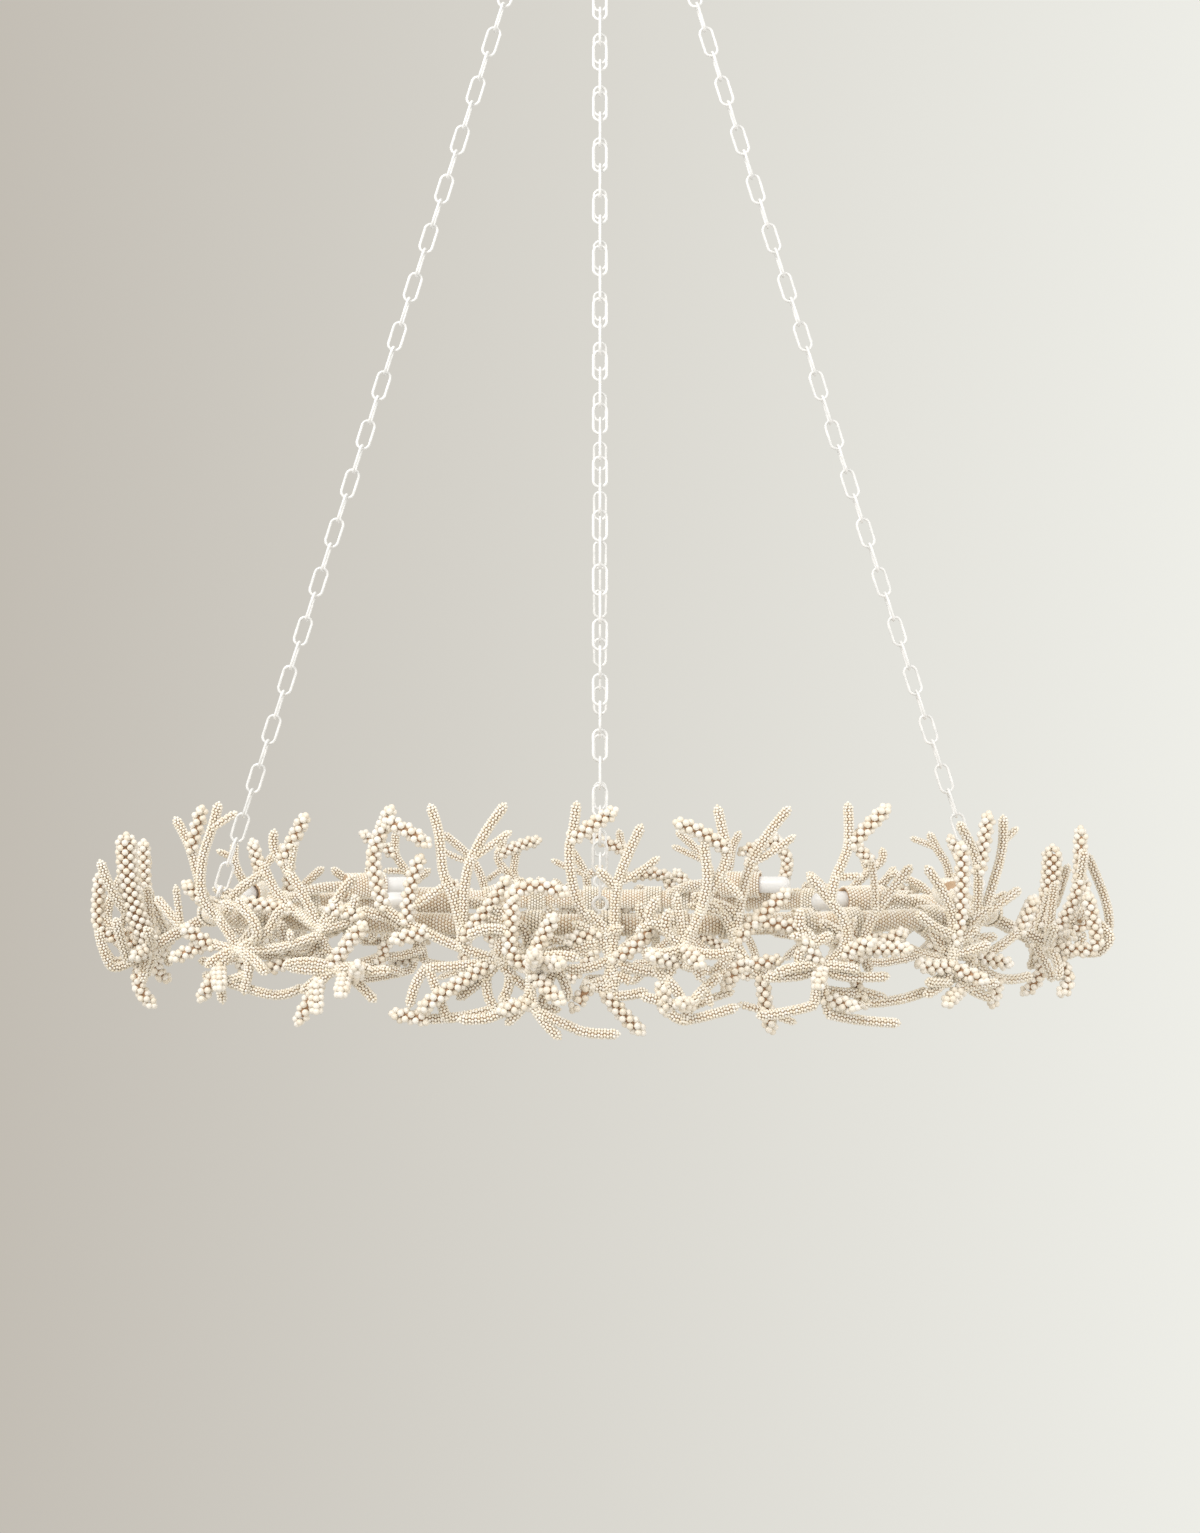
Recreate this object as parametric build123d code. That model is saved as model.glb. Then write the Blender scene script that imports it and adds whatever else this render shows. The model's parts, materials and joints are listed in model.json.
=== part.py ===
"""Oval chandelier: a beaded tube ring dressed with beaded coral sprigs, hung on four chains.

Millimetres, +Z up. The origin is the middle of the ceiling fitting, on the ceiling plane,
and the lamp hangs below it. +X runs along the oval, and -Y is the side seen first.
"""
from build123d import *
from build123d.topology import SkipClean

import os
from math import atan2, copysign, cos, degrees, radians, sin, tan

# Oval ring, drawn as four tangent arcs
RING_DROP = 1490.0
RING_HALF_LENGTH = 472.0
RING_HALF_DEPTH = 235.0
RING_END_RADIUS = 160.0
TUBE_RADIUS = 9.5
TUBE_BORE_RADIUS = 7.5
BEAD_WRAP_RADIUS = 13.0
SEAT_GAP = 0.3
WIRE_BUNDLE_RADIUS = 2.2
LEAD_RADIUS = 1.6

# Ceiling fitting
BAR_LENGTH = 112.0
BAR_WIDTH = 20.0
BAR_THICKNESS = 2.5
BAR_SCREW_SPACING = 88.9
BAR_SLOT_WIDTH = 5.0
BAR_SLOT_LENGTH = 12.0
NIPPLE_RADIUS = 4.85
NIPPLE_BORE_RADIUS = 3.3
NIPPLE_LENGTH = 32.0
THREAD_GAP = 0.12
NUT_ACROSS_FLATS = 15.0
NUT_THICKNESS = 4.0
LOOP_BODY_RADIUS = 12.5
LOOP_BODY_TOP = 14.0
LOOP_BODY_LENGTH = 42.0
LOOP_RADIUS = 9.0
LOOP_WIRE_RADIUS = 3.0
CANOPY_RADIUS = 66.0
CANOPY_HEIGHT = 30.0
CANOPY_WALL = 1.4
CANOPY_FLAT_RADIUS = 26.0
CANOPY_HOLE_GAP = 0.4
COLLAR_RADIUS = 18.0
COLLAR_HEIGHT = 8.0
CEILING_GAP = 0.3

# Hanging hardware
HOOK_WIRE_RADIUS = 2.5
HOOK_HALF_WIDTH = 7.0
HOOK_STRAIGHT = 20.0
HANG_GAP = 0.3
EYE_RADIUS = 9.0
EYE_WIRE_RADIUS = 2.5
EYE_SHANK_RADIUS = 4.0
EYE_SHOULDER_RADIUS = 7.0
EYE_SHOULDER_HEIGHT = 4.0
PLATE_RADIUS = 35.0
PLATE_THICKNESS = 4.0
PLATE_HOLE_RADIUS = 4.5
PLATE_RIM = 5.0

# Chain and its eyes on the ring
LINK_WIRE_RADIUS = 1.75
LINK_INNER_HALF_WIDTH = 6.0
LINK_PITCH = 31.5
LINK_SLACK = 0.3
LINK_OVER_PLATE = 1.9
RING_EYE_RADIUS = 7.5
RING_EYE_WIRE_RADIUS = 2.2
RING_EYE_STAND = 23.0
RING_EYE_SHANK_RADIUS = 3.0

# Lamp holders, set inside the ring and a little above it
LAMP_UP = 22.0
LAMP_INWARD_SIDE = 30.0
LAMP_INWARD_END = 46.0
ARM_RADIUS = 7.5
ARM_BORE_RADIUS = 4.0
ARM_REACH = 105.0
ARM_STRAIGHT = 34.0
SLEEVE_RADIUS = 17.5
SLEEVE_BORE_RADIUS = 13.5
SLEEVE_LENGTH = 52.0
SLEEVE_FLOOR = 4.0
SOCKET_RADIUS = 11.0
SOCKET_LENGTH = 38.0
SOCKET_BORE_RADIUS = 6.2
SOCKET_BORE_DEPTH = 25.0
BULB_CAP_RADIUS = 5.9
BULB_RADIUS = 10.8
BULB_OUT_OF_SLEEVE = 40.0

# Coral sprigs
BRANCH_RADIUS = {"stem": 8.0, "seed": 6.4, "twig": 5.0, "finger": 10.0, "club": 14.0}
WIND_STEP = 0.007
TIP_DOME = 0.92
TIP_SINK = 0.2
BEND_SHARE = 0.45
BEND_LIMIT = 60.0
CLIP_RADIUS = 17.5
CLIP_LENGTH = 22.0
CLIP_MOUTH = 2.0
BACK_RISE = 0.66
END_BACK_RISE = 0.8

# Worked out from the sizes above
SIDE_RADIUS = (
    (RING_HALF_LENGTH - RING_END_RADIUS) ** 2 + RING_HALF_DEPTH**2 - RING_END_RADIUS**2
) / (2 * (RING_HALF_DEPTH - RING_END_RADIUS))
END_CENTRE = RING_HALF_LENGTH - RING_END_RADIUS
SIDE_CENTRE = SIDE_RADIUS - RING_HALF_DEPTH
SIDE_HALF_ANGLE = degrees(atan2(END_CENTRE, SIDE_CENTRE))
RING_Z = -RING_DROP
LOOP_PIVOT_Z = -LOOP_BODY_TOP - LOOP_BODY_LENGTH + LOOP_WIRE_RADIUS - 2 * LOOP_RADIUS
HOOK_TOP_Z = LOOP_PIVOT_Z + LOOP_WIRE_RADIUS + HOOK_WIRE_RADIUS + HANG_GAP
HOOK_PIVOT_Z = HOOK_TOP_Z - 2 * HOOK_HALF_WIDTH - HOOK_STRAIGHT
EYE_TOP_Z = HOOK_PIVOT_Z + HOOK_WIRE_RADIUS + EYE_WIRE_RADIUS + HANG_GAP
EYE_FOOT_Z = EYE_TOP_Z - 2 * EYE_RADIUS
PLATE_TOP_Z = EYE_FOOT_Z - EYE_SHOULDER_HEIGHT
CANOPY_FLOOR_Z = -CEILING_GAP - CANOPY_HEIGHT
PLATE_RIM_RADIUS = PLATE_RADIUS - PLATE_RIM / 2

# Each sprig: the way it faces round the ring, in degrees from -Y towards +X, then its branches.
# A branch is its finish and its points: along the ring, out from it and up, from the tube's centre.
SPRIGS = {
    "01": (-28.4, [
        ("stem", [(0, 11, -6), (0, 46, -32)]),
        ("seed", [(0, 46, -32), (-28, 46, 2), (-52, 47, 29), (-64, 48, 71), (-72, 50, 93), (-87, 52, 116)]),
        ("finger", [(-66, 49, 80), (-47, 54, 128)]),
        ("seed", [(-28, 46, 2), (-46, 58, 16), (-42, 62, 71), (-22, 64, 109), (-15, 64, 134)]),
        ("twig", [(-22, 64, 107), (11, 66, 124)]),
        ("finger", [(-44, 48, 20), (-67, 60, 42)]),
        ("seed", [(0, 46, -32), (-53, 44, -29), (-95, 40, -6), (-128, 36, 22)]),
        ("twig", [(-88, 41, -10), (-90, 48, 38)]),
        ("finger", [(-40, 44, -30), (-66, 64, -8)]),
        ("seed", [(0, 46, -32), (-25, 50, -46), (-22, 54, -68), (-17, 54, -92)]),
        ("finger", [(-24, 52, -56), (-46, 58, -90)]),
        ("seed", [(-22, 54, -66), (22, 46, -79), (58, 34, -84), (78, 30, -72)]),
        ("finger", [(-24, 52, -55), (2, 84, -72)]),
        ("seed", [(0, 46, -32), (26, 52, -38), (46, 58, -56)]),
        ("finger", [(-53, 44, -29), (-80, 66, -44)]),
    ]),
    "02": (-21.4, [
        ("stem", [(0, 11, -4), (4, 28, -8)]),
        ("seed", [(4, 28, -8), (-8, 27, 16), (-25, 28, 43), (-42, 29, 66), (-57, 30, 84), (-52, 32, 103)]),
        ("seed", [(4, 28, -8), (-30, 26, 11), (-53, 26, 32), (-66, 27, 56), (-70, 28, 66)]),
        ("seed", [(-66, 27, 56), (-98, 23, 40), (-114, 22, 25), (-122, 22, 5)]),
        ("finger", [(-44, 29, 68), (-10, 36, 120)]),
        ("twig", [(-34, 29, 54), (-24, 34, 92)]),
        ("finger", [(-36, 27, 14), (-94, 36, 22)]),
        ("seed", [(4, 28, -8), (-2, 28, -38), (-28, 28, -42), (-42, 28, -24), (-46, 27, 0)]),
        ("seed", [(-2, 28, -38), (22, 30, -58)]),
        ("seed", [(4, 28, -8), (26, 27, 33), (46, 24, 52)]),
        ("finger", [(18, 28, 18), (58, 32, 10)]),
        ("finger", [(-28, 28, -42), (-62, 32, -54)]),
    ]),
    "03": (-19.1, [
        ("stem", [(0, 10, -9), (0, 50, -48)]),
        ("finger", [(-4, 50, -42), (38, 58, 2)]),
        ("seed", [(0, 50, -48), (-22, 54, -66)]),
        ("finger", [(-18, 53, -62), (-43, 58, -110)]),
        ("seed", [(0, 50, -48), (24, 50, -58), (49, 54, -82)]),
        ("seed", [(0, 50, -48), (30, 56, -54), (68, 58, -47)]),
        ("finger", [(12, 50, -56), (26, 92, -72)]),
        ("finger", [(24, 50, -58), (44, 86, -40)]),
        ("seed", [(0, 50, -48), (-30, 58, -36), (-58, 60, -46)]),
        ("finger", [(-22, 54, -66), (-6, 86, -92)]),
    ]),
    "04": (-7.3, [
        ("stem", [(0, 10, -9), (0, 28, -38)]),
        ("seed", [(0, 28, -38), (-52, 27, -22), (-85, 27, -6), (-113, 27, 6), (-134, 29, 24)]),
        ("finger", [(-130, 28, 20), (-143, 36, 66), (-133, 40, 99), (-118, 42, 130)]),
        ("finger", [(-124, 41, 114), (-106, 44, 112), (-76, 44, 90)]),
        ("finger", [(-104, 27, 4), (-100, 31, 52), (-86, 36, 76)]),
        ("seed", [(-42, 28, -6), (-48, 31, 28), (-62, 33, 56), (-64, 34, 84), (-67, 34, 111),
                  (-76, 34, 133)]),
        ("twig", [(-58, 32, 46), (-94, 36, 22)]),
        ("seed", [(-44, 27, -25), (-40, 28, 4), (-38, 30, 56), (-26, 32, 84), (-10, 34, 111), (8, 36, 134)]),
        ("twig", [(-30, 31, 74), (14, 36, 104)]),
        ("finger", [(-40, 28, -12), (-3, 35, 25), (11, 39, 53)]),
        ("finger", [(-84, 27, -8), (-114, 52, -14)]),
        ("seed", [(0, 28, -38), (-50, 32, -46), (-80, 34, -46)]),
        ("seed", [(-78, 34, -46), (-68, 34, -72), (-57, 34, -104)]),
        ("seed", [(-80, 34, -46), (-95, 36, -62), (-98, 38, -88)]),
        ("finger", [(-10, 28, -42), (-52, 44, -66), (-84, 46, -90)]),
        ("seed", [(0, 28, -38), (-14, 27, -58), (-46, 26, -80)]),
        ("seed", [(-14, 27, -58), (-16, 28, -78), (-2, 28, -94)]),
        ("seed", [(-5, 28, -91), (-41, 30, -103), (-84, 32, -103)]),
        ("finger", [(-80, 32, -103), (-118, 36, -97)]),
    ]),
    "05": (-4.8, [
        ("stem", [(0, 10, -9), (0, 52, -44)]),
        ("finger", [(-2, 52, -42), (-22, 55, -34), (-23, 58, -4), (-18, 58, 44)]),
        ("finger", [(-20, 58, 34), (-2, 60, 57), (39, 60, 38)]),
        ("finger", [(-2, 52, -38), (26, 60, 14)]),
        ("finger", [(2, 52, -42), (10, 98, -24)]),
        ("finger", [(6, 54, -40), (38, 86, -34)]),
        ("seed", [(0, 52, -44), (-2, 54, -68), (9, 58, -98), (32, 58, -118)]),
        ("seed", [(6, 57, -90), (39, 60, -103), (62, 60, -114), (96, 60, -113)]),
        ("finger", [(0, 52, -44), (20, 78, -66), (38, 84, -76)]),
        ("finger", [(2, 55, -80), (-32, 66, -88)]),
        ("seed", [(-23, 58, -4), (-46, 64, 6), (-66, 66, -8)]),
    ]),
    "06": (0.8, [
        ("stem", [(0, 10, -9), (0, 28, -34)]),
        ("seed", [(0, 28, -34), (-15, 27, -6), (-34, 27, 20), (-43, 28, 46), (-47, 30, 86),
                  (-41, 32, 106), (-38, 34, 136)]),
        ("finger", [(-43, 31, 97), (4, 38, 128)]),
        ("seed", [(0, 28, -34), (4, 27, -8), (5, 28, 44), (16, 30, 75), (33, 32, 111)]),
        ("twig", [(6, 28, 48), (26, 30, 54), (52, 32, 76)]),
        ("finger", [(2, 28, -34), (28, 34, -28), (47, 36, 6)]),
        ("seed", [(0, 28, -34), (24, 30, -52), (62, 32, -49)]),
        ("seed", [(0, 28, -34), (-6, 30, -76)]),
        ("seed", [(-6, 30, -74), (14, 32, -78), (38, 34, -70)]),
        ("seed", [(-4, 29, -58), (-30, 32, -66)]),
        ("finger", [(-6, 30, -72), (6, 32, -92), (34, 36, -115)]),
        ("finger", [(-24, 31, -64), (-42, 36, -90)]),
        ("finger", [(-15, 27, -6), (-50, 32, -16)]),
        ("seed", [(5, 28, 44), (-14, 34, 62)]),
    ]),
    "07": (5.8, [
        ("stem", [(0, 11, -4), (0, 52, -20)]),
        ("seed", [(0, 52, -20), (11, 52, -1), (23, 52, 29), (36, 53, 51), (50, 54, 78),
                  (42, 55, 108), (37, 55, 132)]),
        ("seed", [(18, 52, 16), (26, 57, 43), (25, 59, 69), (21, 60, 94)]),
        ("finger", [(45, 54, 88), (21, 60, 105), (-9, 62, 115)]),
        ("twig", [(40, 53, 58), (64, 55, 32)]),
        ("twig", [(0, 52, -18), (-8, 58, 38)]),
        ("seed", [(0, 52, -20), (-14, 54, -44), (-26, 56, -66)]),
        ("finger", [(-24, 56, -60), (-20, 58, -92)]),
        ("seed", [(-21, 57, -84), (-10, 58, -101), (16, 58, -98), (58, 58, -86)]),
        ("seed", [(0, 58, -101), (8, 58, -72), (40, 56, -52)]),
        ("twig", [(22, 57, -62), (30, 58, -84)]),
        ("finger", [(2, 52, -24), (14, 92, -36)]),
        ("finger", [(-10, 53, -37), (-40, 68, -28)]),
        ("seed", [(1, 52, -21), (28, 62, -34), (52, 64, -24)]),
        ("finger", [(5, 58, -83), (-10, 86, -78)]),
    ]),
    "08": (9.8, [
        ("stem", [(0, 11, -2), (0, 28, -16)]),
        ("seed", [(0, 28, -16), (4, 27, 12), (13, 28, 57), (25, 30, 84), (42, 32, 109), (60, 34, 130)]),
        ("twig", [(19, 29, 70), (38, 32, 77), (66, 34, 99)]),
        ("finger", [(2, 28, -14), (58, 36, 38)]),
        ("finger", [(22, 31, 6), (76, 36, -4)]),
        ("seed", [(0, 28, -16), (12, 30, -44), (34, 32, -62)]),
        ("finger", [(30, 32, -58), (34, 34, -98), (41, 34, -116)]),
        ("twig", [(34, 34, -94), (4, 32, -86)]),
        ("twig", [(36, 34, -96), (66, 38, -107)]),
        ("finger", [(9, 30, -37), (-14, 36, -68)]),
        ("seed", [(4, 27, 12), (-22, 28, 30), (-42, 30, 26)]),
        ("finger", [(12, 30, -44), (50, 34, -38)]),
    ]),
    "09": (15.6, [
        ("stem", [(0, 10, -9), (0, 52, -44)]),
        ("seed", [(0, 52, -44), (30, 53, -30), (33, 55, 0), (11, 57, 29), (-14, 57, 56)]),
        ("seed", [(12, 57, 28), (14, 58, 50), (26, 58, 71), (34, 59, 93), (31, 59, 135)]),
        ("finger", [(34, 59, 90), (76, 64, 131)]),
        ("twig", [(16, 58, 54), (46, 62, 55)]),
        ("seed", [(0, 52, -44), (14, 52, -54), (44, 54, -58), (80, 56, -57)]),
        ("seed", [(0, 52, -44), (4, 54, -70), (10, 56, -99)]),
        ("seed", [(10, 56, -97), (44, 58, -106), (92, 58, -109)]),
        ("finger", [(2, 52, -48), (-16, 88, -62)]),
        ("finger", [(0, 52, -44), (-22, 60, -12)]),
        ("finger", [(6, 55, -80), (34, 76, -88)]),
        ("seed", [(0, 52, -44), (-28, 60, -40), (-54, 60, -50)]),
        ("finger", [(30, 53, -30), (54, 76, -16)]),
    ]),
    "10": (19.5, [
        ("stem", [(0, 10, -9), (0, 28, -30)]),
        ("seed", [(0, 28, -30), (7, 27, -8), (24, 27, 18), (40, 28, 38), (62, 30, 63)]),
        ("twig", [(19, 27, 10), (18, 30, 49), (11, 32, 72)]),
        ("finger", [(2, 28, -30), (40, 70, -26)]),
        ("finger", [(2, 28, -34), (52, 36, -10)]),
        ("seed", [(0, 28, -30), (-14, 30, -60)]),
        ("finger", [(-12, 30, -54), (2, 36, -92)]),
        ("seed", [(1, 36, -88), (42, 38, -90), (78, 38, -77)]),
        ("finger", [(-4, 28, -38), (-40, 32, -52)]),
        ("seed", [(1, 36, -88), (-34, 36, -98)]),
        ("finger", [(0, 28, -30), (-28, 32, -14)]),
    ]),
    "11": (26.4, [
        ("stem", [(0, 10, -9), (0, 50, -46)]),
        ("seed", [(0, 50, -46), (0, 52, -14), (-2, 53, 9), (-16, 54, 38), (-38, 54, 63)]),
        ("finger", [(0, 52, -22), (12, 58, 8), (4, 62, 88)]),
        ("finger", [(0, 50, -48), (-22, 54, -54), (-52, 58, -44)]),
        ("seed", [(0, 50, -46), (8, 52, -78), (52, 56, -88)]),
        ("seed", [(7, 52, -74), (54, 62, -70)]),
        ("finger", [(2, 50, -52), (20, 86, -64)]),
        ("seed", [(0, 52, -14), (-30, 58, -8), (-54, 60, 12)]),
        ("finger", [(8, 52, -78), (-20, 66, -90)]),
    ]),
    "12": (38.7, [
        ("stem", [(0, 10, -9), (0, 28, -40)]),
        ("seed", [(0, 28, -40), (8, 27, -2), (10, 28, 31), (7, 30, 62), (-6, 32, 86), (-30, 34, 111)]),
        ("finger", [(8, 30, 54), (16, 38, 121)]),
        ("seed", [(6, 27, -10), (18, 30, 6), (28, 32, 35), (40, 34, 65), (45, 36, 92), (41, 38, 118)]),
        ("twig", [(45, 36, 90), (66, 38, 104)]),
        ("seed", [(17, 30, 4), (43, 34, 18), (72, 36, 32)]),
        ("seed", [(0, 28, -40), (6, 30, -58), (54, 34, -76), (92, 36, -70)]),
        ("seed", [(0, 28, -40), (16, 30, -44), (54, 34, -28), (76, 36, -14)]),
        ("finger", [(72, 36, -17), (92, 42, 22)]),
        ("finger", [(2, 28, -44), (40, 50, -52)]),
        ("finger", [(38, 33, -70), (22, 38, -100)]),
        ("seed", [(8, 27, -2), (-22, 28, 16), (-46, 30, 10)]),
    ]),
    "left": (-78, [
        ("stem", [(0, 10, -9), (0, 70, -40)]),
        ("club", [(0, 70, -38), (4, 100, 0), (6, 100, 92)]),
        ("finger", [(0, 72, -40), (-20, 126, -30), (-20, 136, -6), (-18, 130, 48)]),
        ("seed", [(4, 102, 4), (22, 118, 26), (26, 130, 64)]),
        ("seed", [(0, 70, -40), (14, 112, -72), (22, 126, -46), (22, 132, -18)]),
        ("finger", [(0, 70, -44), (6, 104, -80), (22, 68, -108)]),
        ("seed", [(8, 98, -60), (36, 112, -4)]),
        ("finger", [(2, 72, -42), (36, 92, -49)]),
        ("seed", [(0, 70, -38), (-33, 72, -14), (-40, 76, 30)]),
        ("finger", [(-31, 72, -16), (-49, 104, -34)]),
        ("seed", [(0, 70, -40), (-18, 84, -70), (-38, 80, -86)]),
    ]),
    "right": (78, [
        ("stem", [(0, 10, -9), (0, 70, -36)]),
        ("finger", [(0, 70, -34), (-10, 104, 12), (-12, 108, 60), (-12, 108, 102)]),
        ("seed", [(0, 70, -36), (12, 124, -56), (20, 142, -24), (20, 142, 2), (18, 130, 38), (14, 116, 70)]),
        ("finger", [(0, 72, -38), (-20, 130, -50), (-22, 124, -9), (-22, 116, 24)]),
        ("finger", [(0, 70, -40), (-10, 108, -80), (-34, 84, -92)]),
        ("finger", [(0, 70, -34), (34, 92, -30)]),
        ("seed", [(0, 70, -34), (32, 72, -8), (44, 78, 34)]),
        ("seed", [(-12, 107, 40), (-34, 112, 76)]),
        ("seed", [(0, 70, -36), (22, 86, -66), (42, 82, -82)]),
    ]),
}

# Each lamp: where it sits round the ring, and the way it points along the ring
LAMPS = [(201.8, -1), (167.0, -1), (90.0, 1), (21.8, -1), (-13.0, -1), (-90.0, 1)]


def ring_frame_at(facing):
    """The tube's centre, the outward way and the way along the ring, where the ring faces this way."""
    turned = (facing + 180) % 360 - 180
    back = abs(turned) > 90
    angle = turned - copysign(180, turned) if back else turned
    s = sin(radians(angle))
    c = cos(radians(angle))
    if abs(angle) <= SIDE_HALF_ANGLE:
        centre = Vector(SIDE_RADIUS * s, SIDE_CENTRE - SIDE_RADIUS * c, RING_Z)
    else:
        centre = Vector(copysign(END_CENTRE, angle) + RING_END_RADIUS * s, -RING_END_RADIUS * c, RING_Z)
    out = Vector(s, -c, 0)
    along = Vector(c, s, 0)
    if back:
        centre = Vector(-centre.X, -centre.Y, RING_Z)
        out = out * -1
        along = along * -1
    return centre, out, along


def facing_past(facing, distance):
    """The way the ring faces a given distance further along it."""
    left = distance
    step = copysign(0.5, distance)
    while abs(left) > 1e-6:
        turned = abs((facing + 90) % 180 - 90)
        radius = SIDE_RADIUS if turned <= SIDE_HALF_ANGLE else RING_END_RADIUS
        turn = step if radius * radians(abs(step)) < abs(left) else degrees(left / radius)
        facing += turn
        left -= radius * radians(turn)
    return facing


def ring_path(height=0.0):
    """The oval's centre line, raised by a height above the ring plane."""
    side = 2 * SIDE_HALF_ANGLE
    end = 180 - side
    arcs = [
        CenterArc((0, SIDE_CENTRE), SIDE_RADIUS, 270 - SIDE_HALF_ANGLE, side),
        CenterArc((END_CENTRE, 0), RING_END_RADIUS, SIDE_HALF_ANGLE - 90, end),
        CenterArc((0, -SIDE_CENTRE), SIDE_RADIUS, 90 - SIDE_HALF_ANGLE, side),
        CenterArc((-END_CENTRE, 0), RING_END_RADIUS, 90 + SIDE_HALF_ANGLE, end),
    ]
    return Pos(0, 0, RING_Z + height) * Wire(arcs)


def sweep_round(path, radius):
    """A round rod of this radius along a path."""
    start = Plane(origin=path @ 0, z_dir=path % 0)
    return sweep(start * Circle(radius), path=path)


def ring_rod(radius, height=0.0):
    """A round rod along the whole oval."""
    return sweep_round(ring_path(height), radius)


def smooth_path(points):
    """Straight runs through the points, joined by arcs as large as the runs allow."""
    if len(points) == 2:
        return Line(*points)
    radii = []
    for before, here, after in zip(points, points[1:], points[2:]):
        turn = radians((here - before).get_angle(after - here))
        run = min((here - before).length, (after - here).length)
        radii.append(min(BEND_SHARE * run / tan(turn / 2), BEND_LIMIT))
    return FilletPolyline(*points, radius=radii)


def rod_between(start, end, radius):
    """A straight round rod from one point to another."""
    return sweep_round(Line(start, end), radius)


def branch_solids(points, radius):
    """One coral branch: a round rod along its points, with a domed tip."""
    path = smooth_path(points)
    tip = path @ 1 - (path % 1) * (TIP_SINK * radius)
    return [sweep_round(path, radius), Pos(*tip) * Sphere(TIP_DOME * radius)]


def coral_sprig(facing, branches, rise, ring_cut):
    """One sprig: its branches and the spring clip that holds it on the ring, as one piece."""
    centre, out, along = ring_frame_at(facing)
    up = Vector(0, 0, 1)
    clip_half = along * (CLIP_LENGTH / 2)
    foot = rod_between(centre - clip_half, centre + clip_half, CLIP_RADIUS)
    mouth_way = (up * LAMP_UP - out * LAMP_INWARD_SIDE).normalized()
    mouth = Plane(origin=centre + mouth_way * CLIP_MOUTH, x_dir=along, z_dir=mouth_way)
    foot -= mouth * Box(2 * CLIP_LENGTH, 4 * CLIP_RADIUS, 2 * CLIP_RADIUS,
                        align=(Align.CENTER, Align.CENTER, Align.MIN))
    pieces = []
    for number, (finish, points) in enumerate(branches):
        placed = [centre + along * a + out * o + up * (u * rise if u > 0 else u) for a, o, u in points]
        pieces += branch_solids(placed, BRANCH_RADIUS[finish] * (1 + WIND_STEP * number))
    with SkipClean():
        foot = (foot + pieces.pop(0)) - ring_cut
        return foot.fuse(*pieces)


def chain_link(inner_length, link_plane):
    """One welded chain link, centred on a plane whose X runs across it and Y along it."""
    half_straight = inner_length / 2 - LINK_INNER_HALF_WIDTH
    bend = LINK_INNER_HALF_WIDTH + LINK_WIRE_RADIUS
    outline = Wire([
        Line((bend, -half_straight), (bend, half_straight)),
        CenterArc((0, half_straight), bend, 0, 180),
        Line((-bend, half_straight), (-bend, -half_straight)),
        CenterArc((0, -half_straight), bend, 180, 180),
    ])
    return link_plane * sweep_round(outline, LINK_WIRE_RADIUS)


def chain_ends(facing):
    """Where one chain leaves the plate, the middle of its eye on the ring, and its own direction."""
    centre, out, along = ring_frame_at(facing)
    top = Vector(out.X * PLATE_RIM_RADIUS, out.Y * PLATE_RIM_RADIUS, PLATE_TOP_Z)
    up_chain = (top - centre).normalized()
    return top, centre, up_chain, along


def chain(facing):
    """One chain: an odd number of links, turned a quarter each, from the plate to the ring's eye."""
    top, centre, up_chain, along = chain_ends(facing)
    eye_top = centre + up_chain * (RING_EYE_STAND + RING_EYE_RADIUS)
    span = (top - eye_top).length + LINK_OVER_PLATE + RING_EYE_WIRE_RADIUS + LINK_SLACK
    count = 2 * round((span / LINK_PITCH - 1) / 2) + 1
    pitch = span / count
    inner_length = pitch + LINK_SLACK
    first = top - up_chain * (inner_length / 2 - LINK_OVER_PLATE)
    links = []
    for number in range(count):
        middle = first - up_chain * (number * pitch)
        across = along if number % 2 else along.cross(up_chain)
        link_plane = Plane(origin=middle, x_dir=across, z_dir=across.cross(up_chain))
        links.append(chain_link(inner_length, link_plane))
    return links


def ring_eye(facing, tube_cut):
    """The wire eye that one chain hooks into, welded to the tube through the beads."""
    _, centre, up_chain, along = chain_ends(facing)
    middle = centre + up_chain * RING_EYE_STAND
    eye_plane = Plane(origin=middle, x_dir=along, z_dir=along.cross(up_chain))
    eye = eye_plane * Torus(RING_EYE_RADIUS, RING_EYE_WIRE_RADIUS)
    shank = rod_between(centre, middle - up_chain * RING_EYE_RADIUS, RING_EYE_SHANK_RADIUS)
    return eye + shank - tube_cut


def lamp_frame(lamp):
    """One lamp's middle, the way it points, its arm's root on the ring and the root's inward way."""
    facing, way = lamp
    centre, out, along = ring_frame_at(facing)
    inward = LAMP_INWARD_END if abs(abs(facing) - 90) < 1 else LAMP_INWARD_SIDE
    middle = centre - out * inward + Vector(0, 0, LAMP_UP)
    root, root_out, root_along = ring_frame_at(facing_past(facing, -way * ARM_REACH))
    return middle, along * way, root, root_out * -1, root_along * way


def lamp_arm_path(lamp):
    """The bent arm's centre line, from the tube to the back of the sleeve."""
    middle, pointing, root, inward, root_pointing = lamp_frame(lamp)
    seat = middle - pointing * (SLEEVE_LENGTH / 2)
    rise = (inward * LAMP_INWARD_SIDE + Vector(0, 0, LAMP_UP)).normalized()
    shoulder = root + rise * (BEAD_WRAP_RADIUS + ARM_RADIUS) + root_pointing * (2 * ARM_RADIUS)
    return smooth_path([root, shoulder, seat - pointing * ARM_STRAIGHT, seat])


def lamp_rod(lamp, start, end, radius):
    """A rod along the lamp's axis, between distances measured from the sleeve's back."""
    middle, pointing, *_ = lamp_frame(lamp)
    seat = middle - pointing * (SLEEVE_LENGTH / 2)
    return rod_between(seat + pointing * start, seat + pointing * end, radius)


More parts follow.
